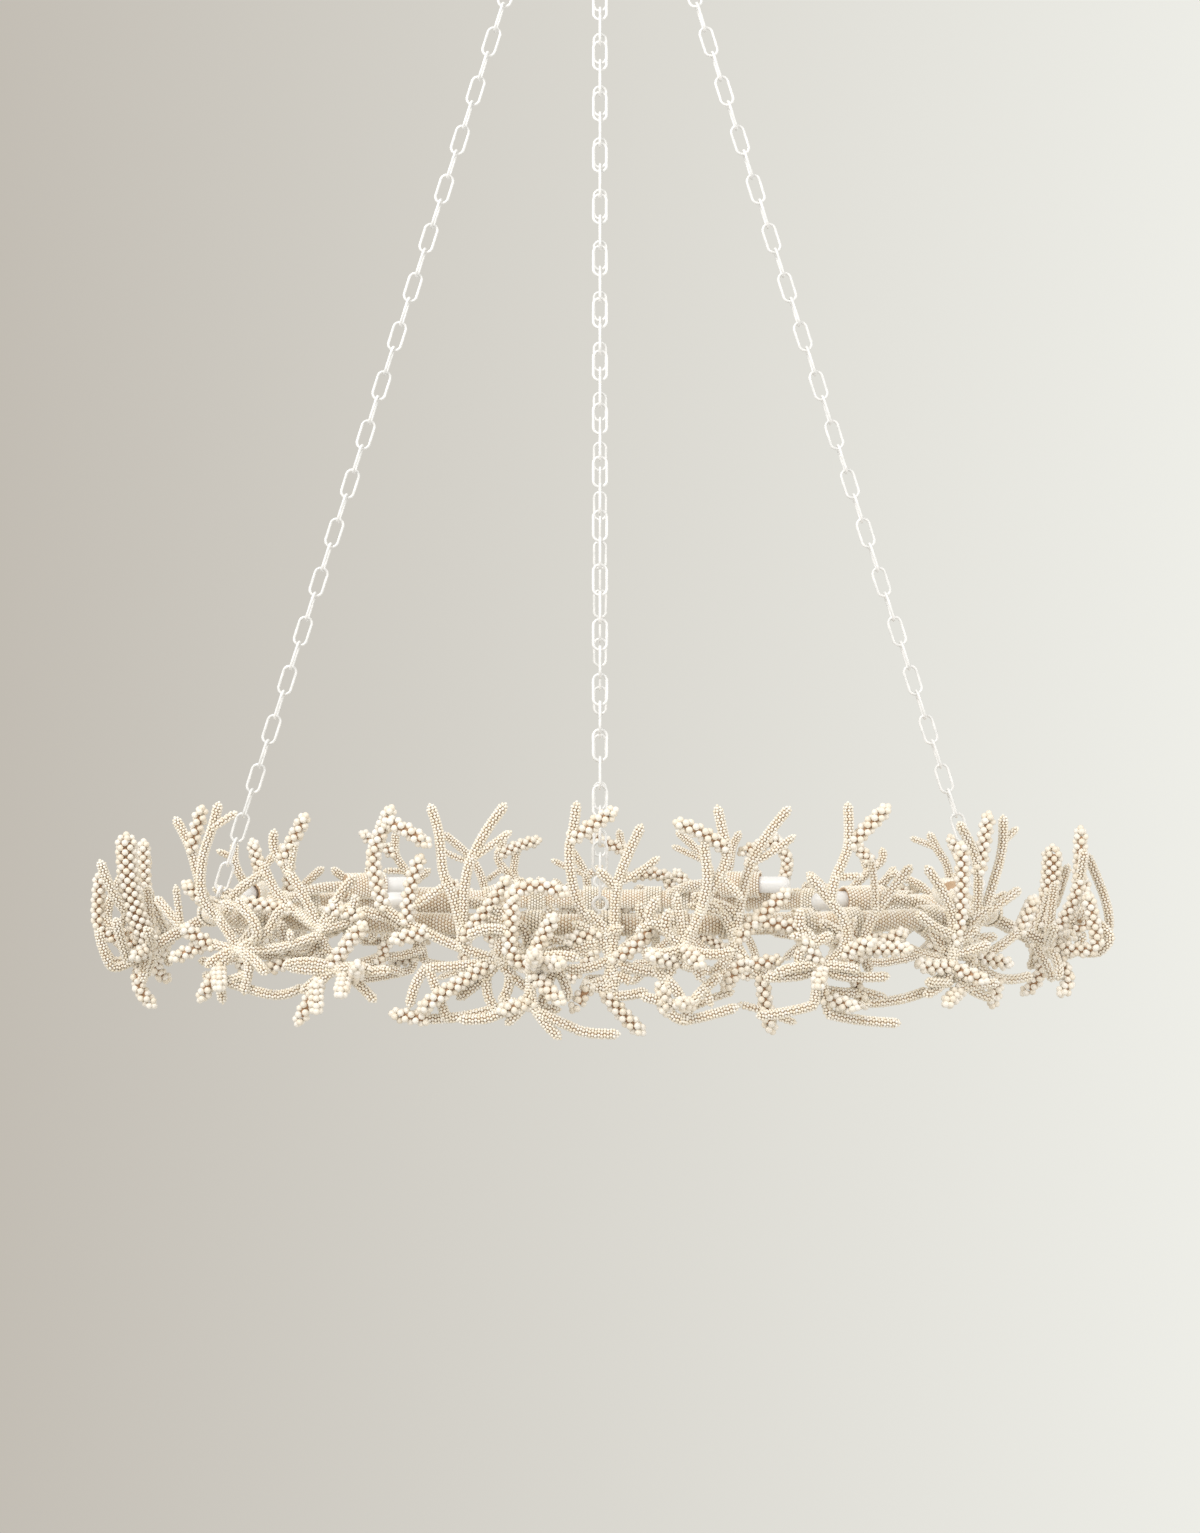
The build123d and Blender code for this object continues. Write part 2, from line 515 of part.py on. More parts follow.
def lamp_sleeve(lamp):
    """The beaded cup round the lamp's socket, with a wire hole in its floor."""
    cup = lamp_rod(lamp, 0, SLEEVE_LENGTH, SLEEVE_RADIUS)
    hollow = lamp_rod(lamp, SLEEVE_FLOOR, SLEEVE_LENGTH + 1, SLEEVE_BORE_RADIUS)
    return cup - hollow - lamp_rod(lamp, -1, SLEEVE_FLOOR + 1, ARM_BORE_RADIUS)


def lamp_socket(lamp):
    """The small screw socket that stands on the cup's floor."""
    end = SLEEVE_FLOOR + SOCKET_LENGTH
    body = lamp_rod(lamp, SLEEVE_FLOOR, end, SOCKET_RADIUS)
    return body - lamp_rod(lamp, end - SOCKET_BORE_DEPTH, end + 1, SOCKET_BORE_RADIUS)


def lamp_bulb(lamp):
    """A frosted tube bulb: its cap in the socket, its glass out of the sleeve, with a domed end."""
    mouth = SLEEVE_FLOOR + SOCKET_LENGTH
    tip = SLEEVE_LENGTH + BULB_OUT_OF_SLEEVE
    middle, pointing, *_ = lamp_frame(lamp)
    across = pointing.cross(Vector(0, 0, 1))
    profile_plane = Plane(origin=middle - pointing * (SLEEVE_LENGTH / 2), x_dir=across, z_dir=Vector(0, 0, 1))
    if (profile_plane.y_dir - pointing).length > 1:
        profile_plane = Plane(origin=profile_plane.origin, x_dir=across, z_dir=Vector(0, 0, -1))
    cap_end = mouth - SOCKET_BORE_DEPTH + SEAT_GAP
    neck = mouth + SEAT_GAP
    shoulder = neck + BULB_RADIUS - BULB_CAP_RADIUS
    outline = [
        Line((0, cap_end), (BULB_CAP_RADIUS, cap_end)),
        Line((BULB_CAP_RADIUS, cap_end), (BULB_CAP_RADIUS, neck)),
        Line((BULB_CAP_RADIUS, neck), (BULB_RADIUS, shoulder)),
        Line((BULB_RADIUS, shoulder), (BULB_RADIUS, tip - BULB_RADIUS)),
        CenterArc((0, tip - BULB_RADIUS), BULB_RADIUS, 0, 90),
        Line((0, tip), (0, cap_end)),
    ]
    half = profile_plane * make_face(Curve() + outline)
    return revolve(half, Axis(middle, pointing))


def upright(radius, bottom, top):
    """An upright cylinder on the Z axis between two heights."""
    return Pos(0, 0, bottom) * Cylinder(radius, top - bottom, align=(Align.CENTER, Align.CENTER, Align.MIN))


def crossbar():
    """The steel strap that screws to the ceiling box, with two slots and a middle hole."""
    bar = Pos(0, 0, -BAR_THICKNESS / 2) * Box(BAR_LENGTH, BAR_WIDTH, BAR_THICKNESS)
    slot = extrude(SlotOverall(BAR_SLOT_LENGTH, BAR_SLOT_WIDTH), BAR_THICKNESS, both=True)
    for side in (-1, 1):
        bar -= Pos(side * BAR_SCREW_SPACING / 2, 0, 0) * slot
    return bar - upright(NIPPLE_RADIUS + THREAD_GAP, -BAR_THICKNESS - 1, 1)


def hex_nut(top, bore):
    """A hexagon nut with its upper face at a height."""
    nut = extrude(RegularPolygon(NUT_ACROSS_FLATS / 2, 6, major_radius=False), NUT_THICKNESS)
    return Pos(0, 0, top - NUT_THICKNESS) * nut - upright(bore, top - NUT_THICKNESS - 1, top + 1)


def canopy_loop():
    """The threaded loop on the nipple, which carries the lamp."""
    bottom = -LOOP_BODY_TOP - LOOP_BODY_LENGTH
    body = upright(LOOP_BODY_RADIUS, bottom, -LOOP_BODY_TOP)
    body -= upright(NIPPLE_RADIUS + THREAD_GAP, -NIPPLE_LENGTH - 1, 1)
    loop = Pos(0, 0, LOOP_PIVOT_Z + LOOP_RADIUS) * Rot(90, 0, 0) * Torus(LOOP_RADIUS, LOOP_WIRE_RADIUS)
    return body + loop


def canopy():
    """The dished cover: a flat floor round the loop, a rounded side, and an open top at the ceiling."""
    side = CANOPY_RADIUS - CANOPY_FLAT_RADIUS
    inner_height = CANOPY_HEIGHT - CANOPY_WALL
    inner_side = side - CANOPY_WALL
    floor = CANOPY_FLOOR_Z
    hole = LOOP_BODY_RADIUS + CANOPY_HOLE_GAP
    flat = CANOPY_FLAT_RADIUS
    section = [
        Line((hole, floor), (flat, floor)),
        EllipticalCenterArc((flat, -CEILING_GAP), side, CANOPY_HEIGHT, 270, arc_size=90),
        Line((flat + side, -CEILING_GAP), (flat + inner_side, -CEILING_GAP)),
        EllipticalCenterArc((flat, -CEILING_GAP), inner_side, inner_height, 270, arc_size=90),
        Line((flat, floor + CANOPY_WALL), (hole, floor + CANOPY_WALL)),
        Line((hole, floor + CANOPY_WALL), (hole, floor)),
    ]
    return revolve(Plane.XZ * make_face(Curve() + section), Axis.Z)


def lock_ring():
    """The ring nut that holds the canopy up against the ceiling."""
    top = CANOPY_FLOOR_Z
    ring = upright(COLLAR_RADIUS, top - COLLAR_HEIGHT, top)
    return ring - upright(LOOP_BODY_RADIUS + CANOPY_HOLE_GAP, top - COLLAR_HEIGHT - 1, top + 1)


def hook_link():
    """The oval link between the canopy's loop and the plate's eye."""
    half = HOOK_STRAIGHT / 2
    outline = Wire([
        Line((HOOK_HALF_WIDTH, -half), (HOOK_HALF_WIDTH, half)),
        CenterArc((0, half), HOOK_HALF_WIDTH, 0, 180),
        Line((-HOOK_HALF_WIDTH, half), (-HOOK_HALF_WIDTH, -half)),
        CenterArc((0, -half), HOOK_HALF_WIDTH, 180, 180),
    ])
    middle = (0, 0, HOOK_TOP_Z - HOOK_HALF_WIDTH - half)
    return Plane(origin=middle, x_dir=(0, 1, 0), z_dir=(1, 0, 0)) * sweep_round(outline, HOOK_WIRE_RADIUS)


def plate_eye():
    """The eye bolt in the middle of the plate."""
    eye = Pos(0, 0, EYE_TOP_Z - EYE_RADIUS) * Rot(90, 0, 0) * Torus(EYE_RADIUS, EYE_WIRE_RADIUS)
    shank_end = PLATE_TOP_Z - PLATE_THICKNESS - NUT_THICKNESS - 2
    shoulder = upright(EYE_SHOULDER_RADIUS, PLATE_TOP_Z, EYE_FOOT_Z)
    return eye + shoulder + upright(EYE_SHANK_RADIUS, shank_end, EYE_FOOT_Z)


def gather_plate():
    """The round plate that spreads the four chains, with a hole for each near its rim."""
    plate = upright(PLATE_RADIUS, PLATE_TOP_Z - PLATE_THICKNESS, PLATE_TOP_Z)
    plate -= upright(EYE_SHANK_RADIUS + THREAD_GAP, PLATE_TOP_Z - PLATE_THICKNESS - 1, PLATE_TOP_Z + 1)
    hole_circle = PLATE_RADIUS - PLATE_RIM - PLATE_HOLE_RADIUS
    hole = upright(PLATE_HOLE_RADIUS, PLATE_TOP_Z - PLATE_THICKNESS - 1, PLATE_TOP_Z + 1)
    for turn in range(0, 360, 90):
        plate -= Rot(0, 0, turn) * Pos(hole_circle, 0, 0) * hole
    return plate


def save(name, solids):
    """Writes one node, as a single solid or as a group of separate ones."""
    shape = Compound(children=solids) if isinstance(solids, list) else solids
    export_step(shape, f"parts/{name}.step")


os.makedirs("parts", exist_ok=True)

# Ceiling fitting and hanging hardware
nipple_bore = upright(NIPPLE_BORE_RADIUS, -NIPPLE_LENGTH - 1, 1)
save("crossbar", crossbar())
save("threaded_nipple", upright(NIPPLE_RADIUS, -NIPPLE_LENGTH, 0) - nipple_bore)
save("nipple_nut", hex_nut(-BAR_THICKNESS, NIPPLE_RADIUS + THREAD_GAP))
save("canopy_loop", canopy_loop())
save("lock_ring", lock_ring())
save("hook_link", hook_link())
save("gather_plate", gather_plate())
save("plate_eye", plate_eye())
save("plate_nut", hex_nut(PLATE_TOP_Z - PLATE_THICKNESS, EYE_SHANK_RADIUS + THREAD_GAP))
save("canopy", canopy())

# Chains and their eyes
tube_cut = ring_rod(TUBE_RADIUS + SEAT_GAP)
CHAIN_FACING = {"chain_front": 0, "chain_right": 90, "chain_back": 180, "chain_left": -90}
for name, facing in CHAIN_FACING.items():
    save(name, chain(facing))
eyes = [ring_eye(facing, tube_cut) for facing in CHAIN_FACING.values()]
save("ring_eyes", eyes)

# Ring, with a wire hole at each arm, and its bead wrap, open at each eye and arm
arm_paths = [lamp_arm_path(lamp) for lamp in LAMPS]
arm_bores = [sweep_round(path, ARM_BORE_RADIUS) for path in arm_paths]
save("ring_tube", ring_rod(TUBE_RADIUS) - ring_rod(TUBE_BORE_RADIUS) - arm_bores)
wrap = ring_rod(BEAD_WRAP_RADIUS) - tube_cut
for facing in CHAIN_FACING.values():
    _, centre, up_chain, _ = chain_ends(facing)
    wrap -= rod_between(centre, centre + up_chain * RING_EYE_STAND, RING_EYE_SHANK_RADIUS + SEAT_GAP)
wrap -= [sweep_round(path, ARM_RADIUS + SEAT_GAP) for path in arm_paths]
save("ring_bead_wrap", wrap)

# Wiring: a loop lying in the tube, with a lead through each arm to the back of its socket
loop_height = WIRE_BUNDLE_RADIUS + SEAT_GAP - TUBE_BORE_RADIUS
wires = []
for lamp, path in zip(LAMPS, arm_paths):
    wires.append(rod_between(path @ 0 + Vector(0, 0, loop_height), path @ 0, LEAD_RADIUS))
    wires.append(sweep_round(path, LEAD_RADIUS))
    wires.append(lamp_rod(lamp, 0, SLEEVE_FLOOR, LEAD_RADIUS))
save("wiring_harness", ring_rod(WIRE_BUNDLE_RADIUS, loop_height).fuse(*wires))

# Lamps
arms = [sweep_round(path, ARM_RADIUS) - bore - tube_cut for path, bore in zip(arm_paths, arm_bores)]
save("lamp_arms", arms)
save("lamp_sleeves", [lamp_sleeve(lamp) for lamp in LAMPS])
save("lamp_sockets", [lamp_socket(lamp) for lamp in LAMPS])
for number, lamp in enumerate(LAMPS, 1):
    save(f"bulb_{number}", lamp_bulb(lamp))

# Coral sprigs, seen side and far side
ring_cut = ring_rod(BEAD_WRAP_RADIUS + SEAT_GAP)
for design, (facing, branches) in SPRIGS.items():
    at_end = design in ("left", "right")
    far_name = {"left": "right", "right": "left"}.get(design, design)
    save(f"coral_front_{design}", coral_sprig(facing, branches, 1.0, ring_cut))
    far_rise = END_BACK_RISE if at_end else BACK_RISE
    save(f"coral_back_{far_name}", coral_sprig(facing + 180, branches, far_rise, ring_cut))
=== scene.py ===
"""Looks of the oval coral chandelier: bead-wound ring and sprigs, white chains, frosted lamps."""
import json
from math import atan2, copysign, cos, degrees, pi, radians, sin

import bmesh
import bpy
from mathutils import Matrix, Vector


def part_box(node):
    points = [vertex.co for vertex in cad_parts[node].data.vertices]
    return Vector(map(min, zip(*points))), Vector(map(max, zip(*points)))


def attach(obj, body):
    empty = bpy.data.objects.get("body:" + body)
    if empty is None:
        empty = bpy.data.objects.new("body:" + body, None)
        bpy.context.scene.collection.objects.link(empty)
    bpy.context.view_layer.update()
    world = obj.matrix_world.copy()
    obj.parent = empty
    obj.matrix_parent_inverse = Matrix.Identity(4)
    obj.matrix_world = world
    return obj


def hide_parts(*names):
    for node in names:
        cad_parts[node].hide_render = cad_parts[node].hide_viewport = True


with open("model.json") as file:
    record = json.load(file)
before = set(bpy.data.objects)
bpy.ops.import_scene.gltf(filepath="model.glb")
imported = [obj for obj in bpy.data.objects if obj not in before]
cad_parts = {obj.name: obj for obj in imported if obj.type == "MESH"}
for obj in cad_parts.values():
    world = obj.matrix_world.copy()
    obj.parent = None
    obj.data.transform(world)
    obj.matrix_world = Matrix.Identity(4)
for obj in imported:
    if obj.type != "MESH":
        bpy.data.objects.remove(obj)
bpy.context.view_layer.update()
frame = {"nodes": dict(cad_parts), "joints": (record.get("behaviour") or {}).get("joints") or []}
nodes = frame["nodes"]
MM = 0.001


# Ceiling strap, nipple and nut: zinc-plated steel pressings and turnings, screwed up inside the
# canopy where only the fitter sees them. The plating is dull, with cloudy patches.
def clouded_finish(name, dark, light, scale, roughness, metallic=0.0):
    """A finish whose colour drifts between two tones over the piece."""
    material = bpy.data.materials.new(name)
    material.use_nodes = True
    tree = material.node_tree
    shader = tree.nodes["Principled BSDF"]
    shader.inputs["Roughness"].default_value = roughness
    shader.inputs["Metallic"].default_value = metallic
    place = tree.nodes.new("ShaderNodeTexCoord")
    cloud = tree.nodes.new("ShaderNodeTexNoise")
    cloud.inputs["Scale"].default_value = scale
    cloud.inputs["Detail"].default_value = 4.0
    tones = tree.nodes.new("ShaderNodeValToRGB")
    tones.color_ramp.elements[0].position = 0.35
    tones.color_ramp.elements[0].color = (*dark, 1)
    tones.color_ramp.elements[1].position = 0.65
    tones.color_ramp.elements[1].color = (*light, 1)
    tree.links.new(place.outputs["Object"], cloud.inputs["Vector"])
    tree.links.new(cloud.outputs["Fac"], tones.inputs["Fac"])
    tree.links.new(tones.outputs["Color"], shader.inputs["Base Color"])
    return material


def dress(material, *names):
    """Gives CAD nodes a finish."""
    for name in names:
        for slot in nodes[name].material_slots:
            slot.material = material


zinc_plate = clouded_finish("zinc_plate", (0.42, 0.43, 0.44), (0.60, 0.60, 0.61), 60.0, 0.42, metallic=1.0)
dress(zinc_plate, "crossbar", "threaded_nipple", "nipple_nut")

# Canopy, its loop and ring nut, the hook link and the plate that gathers the chains: steel,
# sprayed gloss white. The spray is a little warm and pools slightly.
white_gloss = clouded_finish("white_gloss", (0.80, 0.79, 0.76), (0.87, 0.86, 0.83), 25.0, 0.28)
dress(white_gloss, "canopy", "canopy_loop", "lock_ring", "hook_link")
dress(white_gloss, "gather_plate", "plate_eye", "plate_nut")

# Chains: welded oval links of steel wire, dipped in white enamel, each hung through the next from
# the plate to a wire eye on the ring. The enamel is bright, with slightly greyer patches.
RING_HALF_LENGTH = 472 * MM
RING_HALF_DEPTH = 235 * MM
RING_END_RADIUS = 160 * MM
LINK_WIRE_RADIUS = 1.75 * MM
LINK_INNER_HALF_WIDTH = 6.0 * MM
LINK_PITCH = 31.5 * MM
LINK_SLACK = 0.3 * MM
LINK_OVER_PLATE = 1.9 * MM
LINK_STEPS = 28
WIRE_SIDES = 8
EYE_STAND = 23.0 * MM
EYE_RADIUS = 7.5 * MM
EYE_WIRE_RADIUS = 2.2 * MM
PLATE_HOOK_RADIUS = 32.5 * MM
tube_low, tube_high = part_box("ring_tube")
RING_Z = (tube_low[2] + tube_high[2]) / 2
end_centre = RING_HALF_LENGTH - RING_END_RADIUS
side_radius = end_centre**2 + RING_HALF_DEPTH**2 - RING_END_RADIUS**2
side_radius /= 2 * (RING_HALF_DEPTH - RING_END_RADIUS)
side_centre = side_radius - RING_HALF_DEPTH
side_half_angle = atan2(end_centre, side_centre)


def ring_frame_at(facing):
    """The tube's centre, the outward way and the way along the ring, where it faces this way."""
    turned = (facing + 180) % 360 - 180
    back = abs(turned) > 90
    angle = radians(turned - copysign(180, turned) if back else turned)
    out = Vector((sin(angle), -cos(angle), 0))
    along = Vector((cos(angle), sin(angle), 0))
    if abs(angle) <= side_half_angle:
        centre = Vector((0, side_centre, 0)) + out * side_radius
    else:
        centre = Vector((copysign(end_centre, angle), 0, 0)) + out * RING_END_RADIUS
    if back:
        centre, out, along = -centre, -out, -along
    return centre + Vector((0, 0, RING_Z)), out, along


def full_spin(bm, geom, axis, steps):
    """Spins a section once round an axis through the origin, into a closed skin."""
    bmesh.ops.spin(bm, geom=geom, cent=(0, 0, 0), axis=axis, dvec=(0, 0, 0), angle=2 * pi, steps=steps,
                   use_duplicate=False, use_merge=True, use_normal_flip=False, space=Matrix.Identity(4))
    bmesh.ops.remove_doubles(bm, verts=bm.verts[:], dist=0.01 * MM)
    bmesh.ops.recalc_face_normals(bm, faces=bm.faces[:])


def to_mesh(name, bm):
    """Finishes a bmesh as smooth mesh data."""
    for face in bm.faces:
        face.smooth = True
    mesh = bpy.data.meshes.new(name)
    bm.to_mesh(mesh)
    bm.free()
    return mesh


def add_mesh(bm, mesh, material_index=0, place=Matrix.Identity(4)):
    """Adds a mesh to a piece at a place, and gives back what was added."""
    counts = len(bm.verts), len(bm.edges), len(bm.faces)
    bm.from_mesh(mesh)
    bm.verts.ensure_lookup_table()
    bm.edges.ensure_lookup_table()
    bm.faces.ensure_lookup_table()
    verts, edges, faces = bm.verts[counts[0]:], bm.edges[counts[1]:], bm.faces[counts[2]:]
    bmesh.ops.transform(bm, matrix=place, verts=verts)
    for face in faces:
        face.material_index += material_index
    return verts + edges + faces


def place_object(name, data):
    """Puts data in the scene as an object."""
    placed = bpy.data.objects.new(name, data)
    bpy.context.scene.collection.objects.link(placed)
    return placed


def make_piece(name, bm, materials, body, slot, *replaced):
    """Turns a finished bmesh into a piece that rides on a body and stands for CAD nodes."""
    mesh = to_mesh(name, bm)
    for material in materials:
        mesh.materials.append(material)
    piece = place_object(name, mesh)
    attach(piece, body)
    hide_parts(*replaced)


def chain_link(inner_length):
    """One welded link, lying across X and along Y: a wire hoop whose halves are drawn apart."""
    bm = bmesh.new()
    half_straight = inner_length / 2 - LINK_INNER_HALF_WIDTH
    bend = Matrix.Translation((LINK_INNER_HALF_WIDTH + LINK_WIRE_RADIUS, 0, 0))
    stand = Matrix.Rotation(pi / LINK_STEPS, 4, "Z") @ (bend @ Matrix.Rotation(pi / 2, 4, "X"))
    wire = bmesh.ops.create_circle(bm, segments=WIRE_SIDES, radius=LINK_WIRE_RADIUS, matrix=stand)["verts"]
    full_spin(bm, wire + bm.edges[:], (0, 0, 1), LINK_STEPS)
    for vert in bm.verts:
        vert.co.y += copysign(half_straight, vert.co.y)
    return to_mesh("chain_link", bm)


chain_enamel = clouded_finish("chain_enamel", (0.80, 0.80, 0.78), (0.93, 0.92, 0.90), 90.0, 0.22)
dress(chain_enamel, "ring_eyes")
plate_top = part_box("gather_plate")[1][2]
for side, facing in (("front", 0), ("right", 90), ("back", 180), ("left", -90)):
    centre, out, along = ring_frame_at(facing)
    top = out * PLATE_HOOK_RADIUS + Vector((0, 0, plate_top))
    up_chain = (top - centre).normalized()
    eye_top = centre + up_chain * (EYE_STAND + EYE_RADIUS)
    span = (top - eye_top).length + LINK_OVER_PLATE + EYE_WIRE_RADIUS + LINK_SLACK
    count = 2 * round((span / LINK_PITCH - 1) / 2) + 1
    pitch = span / count
    link = chain_link(pitch + LINK_SLACK)
    first = top - up_chain * ((pitch + LINK_SLACK) / 2 - LINK_OVER_PLATE)
    links = bmesh.new()
    for number in range(count):
        across = along if number % 2 else along.cross(up_chain)
        turned = Matrix((across, up_chain, across.cross(up_chain))).transposed().to_4x4()
        add_mesh(links, link, 0, Matrix.Translation(first - up_chain * (number * pitch)) @ turned)
    make_piece(f"chain_links_{side}", links, [chain_enamel], "chandelier", "white_metal", f"chain_{side}")

# Ring tube and its wiring: bent steel tube in primer, under the beads, with plastic-coated wire
# drawn through it and out through each lamp arm.
tube_primer = clouded_finish("tube_primer", (0.40, 0.30, 0.20), (0.48, 0.37, 0.26), 40.0, 0.6)
wire_coat = clouded_finish("wire_coat", (0.74, 0.71, 0.64), (0.80, 0.78, 0.72), 80.0, 0.5)
dress(tube_primer, "ring_tube")
dress(wire_coat, "wiring_harness")

# Bead wrap of the ring: threaded seed beads wound round the tube in close hoops over a glued
# tan cloth. The beads are cream, each a little different, and the cloth shows between them; its brown is
# partly the cloth's own colour and partly painted shade for the gaps between the beads.
WRAP_RADIUS = 13 * MM
SEED_BEAD = 2.0 * MM
SEED_PITCH = 3.7 * MM
CLOTH_SINK = 2.2 * MM
RING_HOOP_BEADS = 18
CLOTH_SIDES = 18
HOOP_PAIRS_PER_CLOTH_STEP = 3
FEWEST_CLOTH_STEPS = 8


def bead_paint(name, tones, roughness):
    """Painted beads: each bead takes its own tone from the list."""
    material = bpy.data.materials.new(name)
    material.use_nodes = True
    tree = material.node_tree
    shader = tree.nodes["Principled BSDF"]
    shader.inputs["Roughness"].default_value = roughness
    bead = tree.nodes.new("ShaderNodeNewGeometry")
    ramp = tree.nodes.new("ShaderNodeValToRGB")
    stops = ramp.color_ramp.elements
    while len(stops) < len(tones):
        stops.new(0.5)
    for number, tone in enumerate(tones):
        stops[number].position = number / (len(tones) - 1)
        stops[number].color = (*tone, 1)
    tree.links.new(bead.outputs["Random Per Island"], ramp.inputs["Fac"])
    tree.links.new(ramp.outputs["Color"], shader.inputs["Base Color"])
    return material


def spin_copies(bm, geom, centre, axis, angle, steps):
    """Copies of some geometry, turned step by step about an axis."""
    bmesh.ops.spin(bm, geom=geom, cent=centre, axis=axis, dvec=(0, 0, 0), angle=angle, steps=steps,
                   use_duplicate=True, use_merge=False, use_normal_flip=False, space=Matrix.Identity(4))


def small_bead(radius):
    """A seed bead, about four millimetres across: a ball of few faces."""
    bm = bmesh.new()
    bmesh.ops.create_icosphere(bm, subdivisions=1, radius=radius)
    return to_mesh("small_bead", bm)


def hoop_pair(bead, hoop, count, pitch, stagger=1.0):
    """Two hoops of beads round the X axis, one pitch apart, staggered by up to half a bead."""
    bm = bmesh.new()
    for row in range(2):
        turned = Matrix.Rotation(stagger * row * pi / count, 4, "X")
        place = Matrix.Translation((row * pitch, 0, 0)) @ turned @ Matrix.Translation((0, 0, hoop))
        turn = 2 * pi * (count - 1) / count
        spin_copies(bm, add_mesh(bm, bead, 0, place), (0, 0, 0), (1, 0, 0), turn, count - 1)
    return to_mesh("hoop_pair", bm)


seed_paint = bead_paint("seed_paint", [(0.91, 0.82, 0.66), (0.94, 0.87, 0.74), (0.96, 0.90, 0.79),
                                       (0.97, 0.93, 0.85)], 0.34)
# Tan-brown cloth under the seed beads: partly its own colour, partly painted shade for the gaps between the
# beads.
cloth_and_painted_shade = clouded_finish("cloth_and_painted_shade", (0.48, 0.32, 0.19), (0.60, 0.43, 0.28), 120.0, 0.8)
seed_bead = small_bead(SEED_BEAD)
ring_hoops = hoop_pair(seed_bead, WRAP_RADIUS - SEED_BEAD, RING_HOOP_BEADS, SEED_PITCH)


def wrap_arc(bm, centre, radius, start, size):
    """Hoops of beads, and the cloth under them, along one arc of the ring."""
    foot = Vector((centre[0] + radius * cos(start), centre[1] + radius * sin(start), RING_Z))
    stand = Matrix.Translation(foot) @ Matrix.Rotation(start + pi / 2, 4, "Z")
    pairs = round(size * radius / (2 * SEED_PITCH))
    hoops = add_mesh(bm, ring_hoops, 0, stand)
    middle = (*centre, RING_Z)
    spin_copies(bm, hoops, middle, (0, 0, 1), size * (pairs - 1) / pairs, pairs - 1)
    cloth = bmesh.ops.create_circle(bm, segments=CLOTH_SIDES, radius=WRAP_RADIUS - CLOTH_SINK,
                                    matrix=stand @ Matrix.Rotation(pi / 2, 4, "Y"))["verts"]
    rim = list({edge for vert in cloth for edge in vert.link_edges})
    known = set(bm.faces)
    steps = max(FEWEST_CLOTH_STEPS, pairs // HOOP_PAIRS_PER_CLOTH_STEP)
    bmesh.ops.spin(bm, geom=cloth + rim, cent=middle, axis=(0, 0, 1), dvec=(0, 0, 0), angle=size, steps=steps,
                   use_duplicate=False, use_merge=False, use_normal_flip=False, space=Matrix.Identity(4))
    skin = [face for face in bm.faces if face not in known]
    for face in skin:
        face.material_index = 1
    bmesh.ops.recalc_face_normals(bm, faces=skin)


for half, side_sign in (("right", 1), ("left", -1)):
    wrap = bmesh.new()
    turned = 0 if side_sign > 0 else pi
    side_start = 1.5 * pi - side_half_angle + turned
    end_start = side_half_angle - pi / 2 + turned
    wrap_arc(wrap, (0, side_sign * side_centre), side_radius, side_start, 2 * side_half_angle)
    wrap_arc(wrap, (side_sign * end_centre, 0), RING_END_RADIUS, end_start, pi - 2 * side_half_angle)
    make_piece(f"ring_beads_{half}", wrap, [seed_paint, cloth_and_painted_shade], "chandelier", "beads", "ring_bead_wrap")

# Lamp arms: bent tube from the ring to each sleeve, wound with the same seed beads over the same
# cloth. The wires run inside, from the ring to the socket.
LAMP_UP = 22 * MM
LAMP_INWARD = 30 * MM
ARM_RADIUS = 7.5 * MM
ARM_REACH = 105 * MM
ARM_STRAIGHT = 34 * MM
ARM_HOOP_BEADS = 9
ARM_TIP_BEADS = 6
LAMP_NEAR_RING = 100 * MM
SLEEVE_LENGTH = 52 * MM
TIP_STEP = 0.7
CORE_SINK = 1.5
lamp_turns = [joint for joint in frame["joints"] if joint["name"].startswith("bulb_")]


def facing_past(facing, distance):
    """The way the ring faces a given distance further along it."""
    left = distance
    step = copysign(0.5, distance)
    while abs(left) > 1e-9:
        turned = abs((facing + 90) % 180 - 90)
        radius = side_radius if turned <= degrees(side_half_angle) else RING_END_RADIUS
        turn = step if radius * radians(abs(step)) < abs(left) else degrees(left / radius)
        facing += turn
        left -= radius * radians(turn)
    return facing


def bead_tip(bead, hoop, count, pitch):
    """The closing beads at a branch's end: a smaller hoop, then one bead on the axis."""
    bm = bmesh.new()
    add_mesh(bm, bead, 0, Matrix.Translation((TIP_STEP * pitch, 0, 0)))
    for number in range(count):
        spot = Matrix.Rotation(2 * pi * number / count, 4, "X") @ Matrix.Translation((0, 0, hoop))
        add_mesh(bm, bead, 0, spot)
    return to_mesh("bead_tip", bm)


def winding(radius, bead, bead_radius, count, pitch, tip_hoop, tip_count, stagger=1.0):
    """One way of winding a branch: its hoops of beads, closing beads and core."""
    tip = place_object("bead_tip", bead_tip(bead, tip_hoop, tip_count, pitch))
    return {"hoops": hoop_pair(bead, radius - bead_radius, count, pitch, stagger),
            "tip": tip,
            "pitch": pitch,
            "core": radius - CORE_SINK * bead_radius,
            "over": radius / 2 - TIP_STEP * pitch - bead_radius}


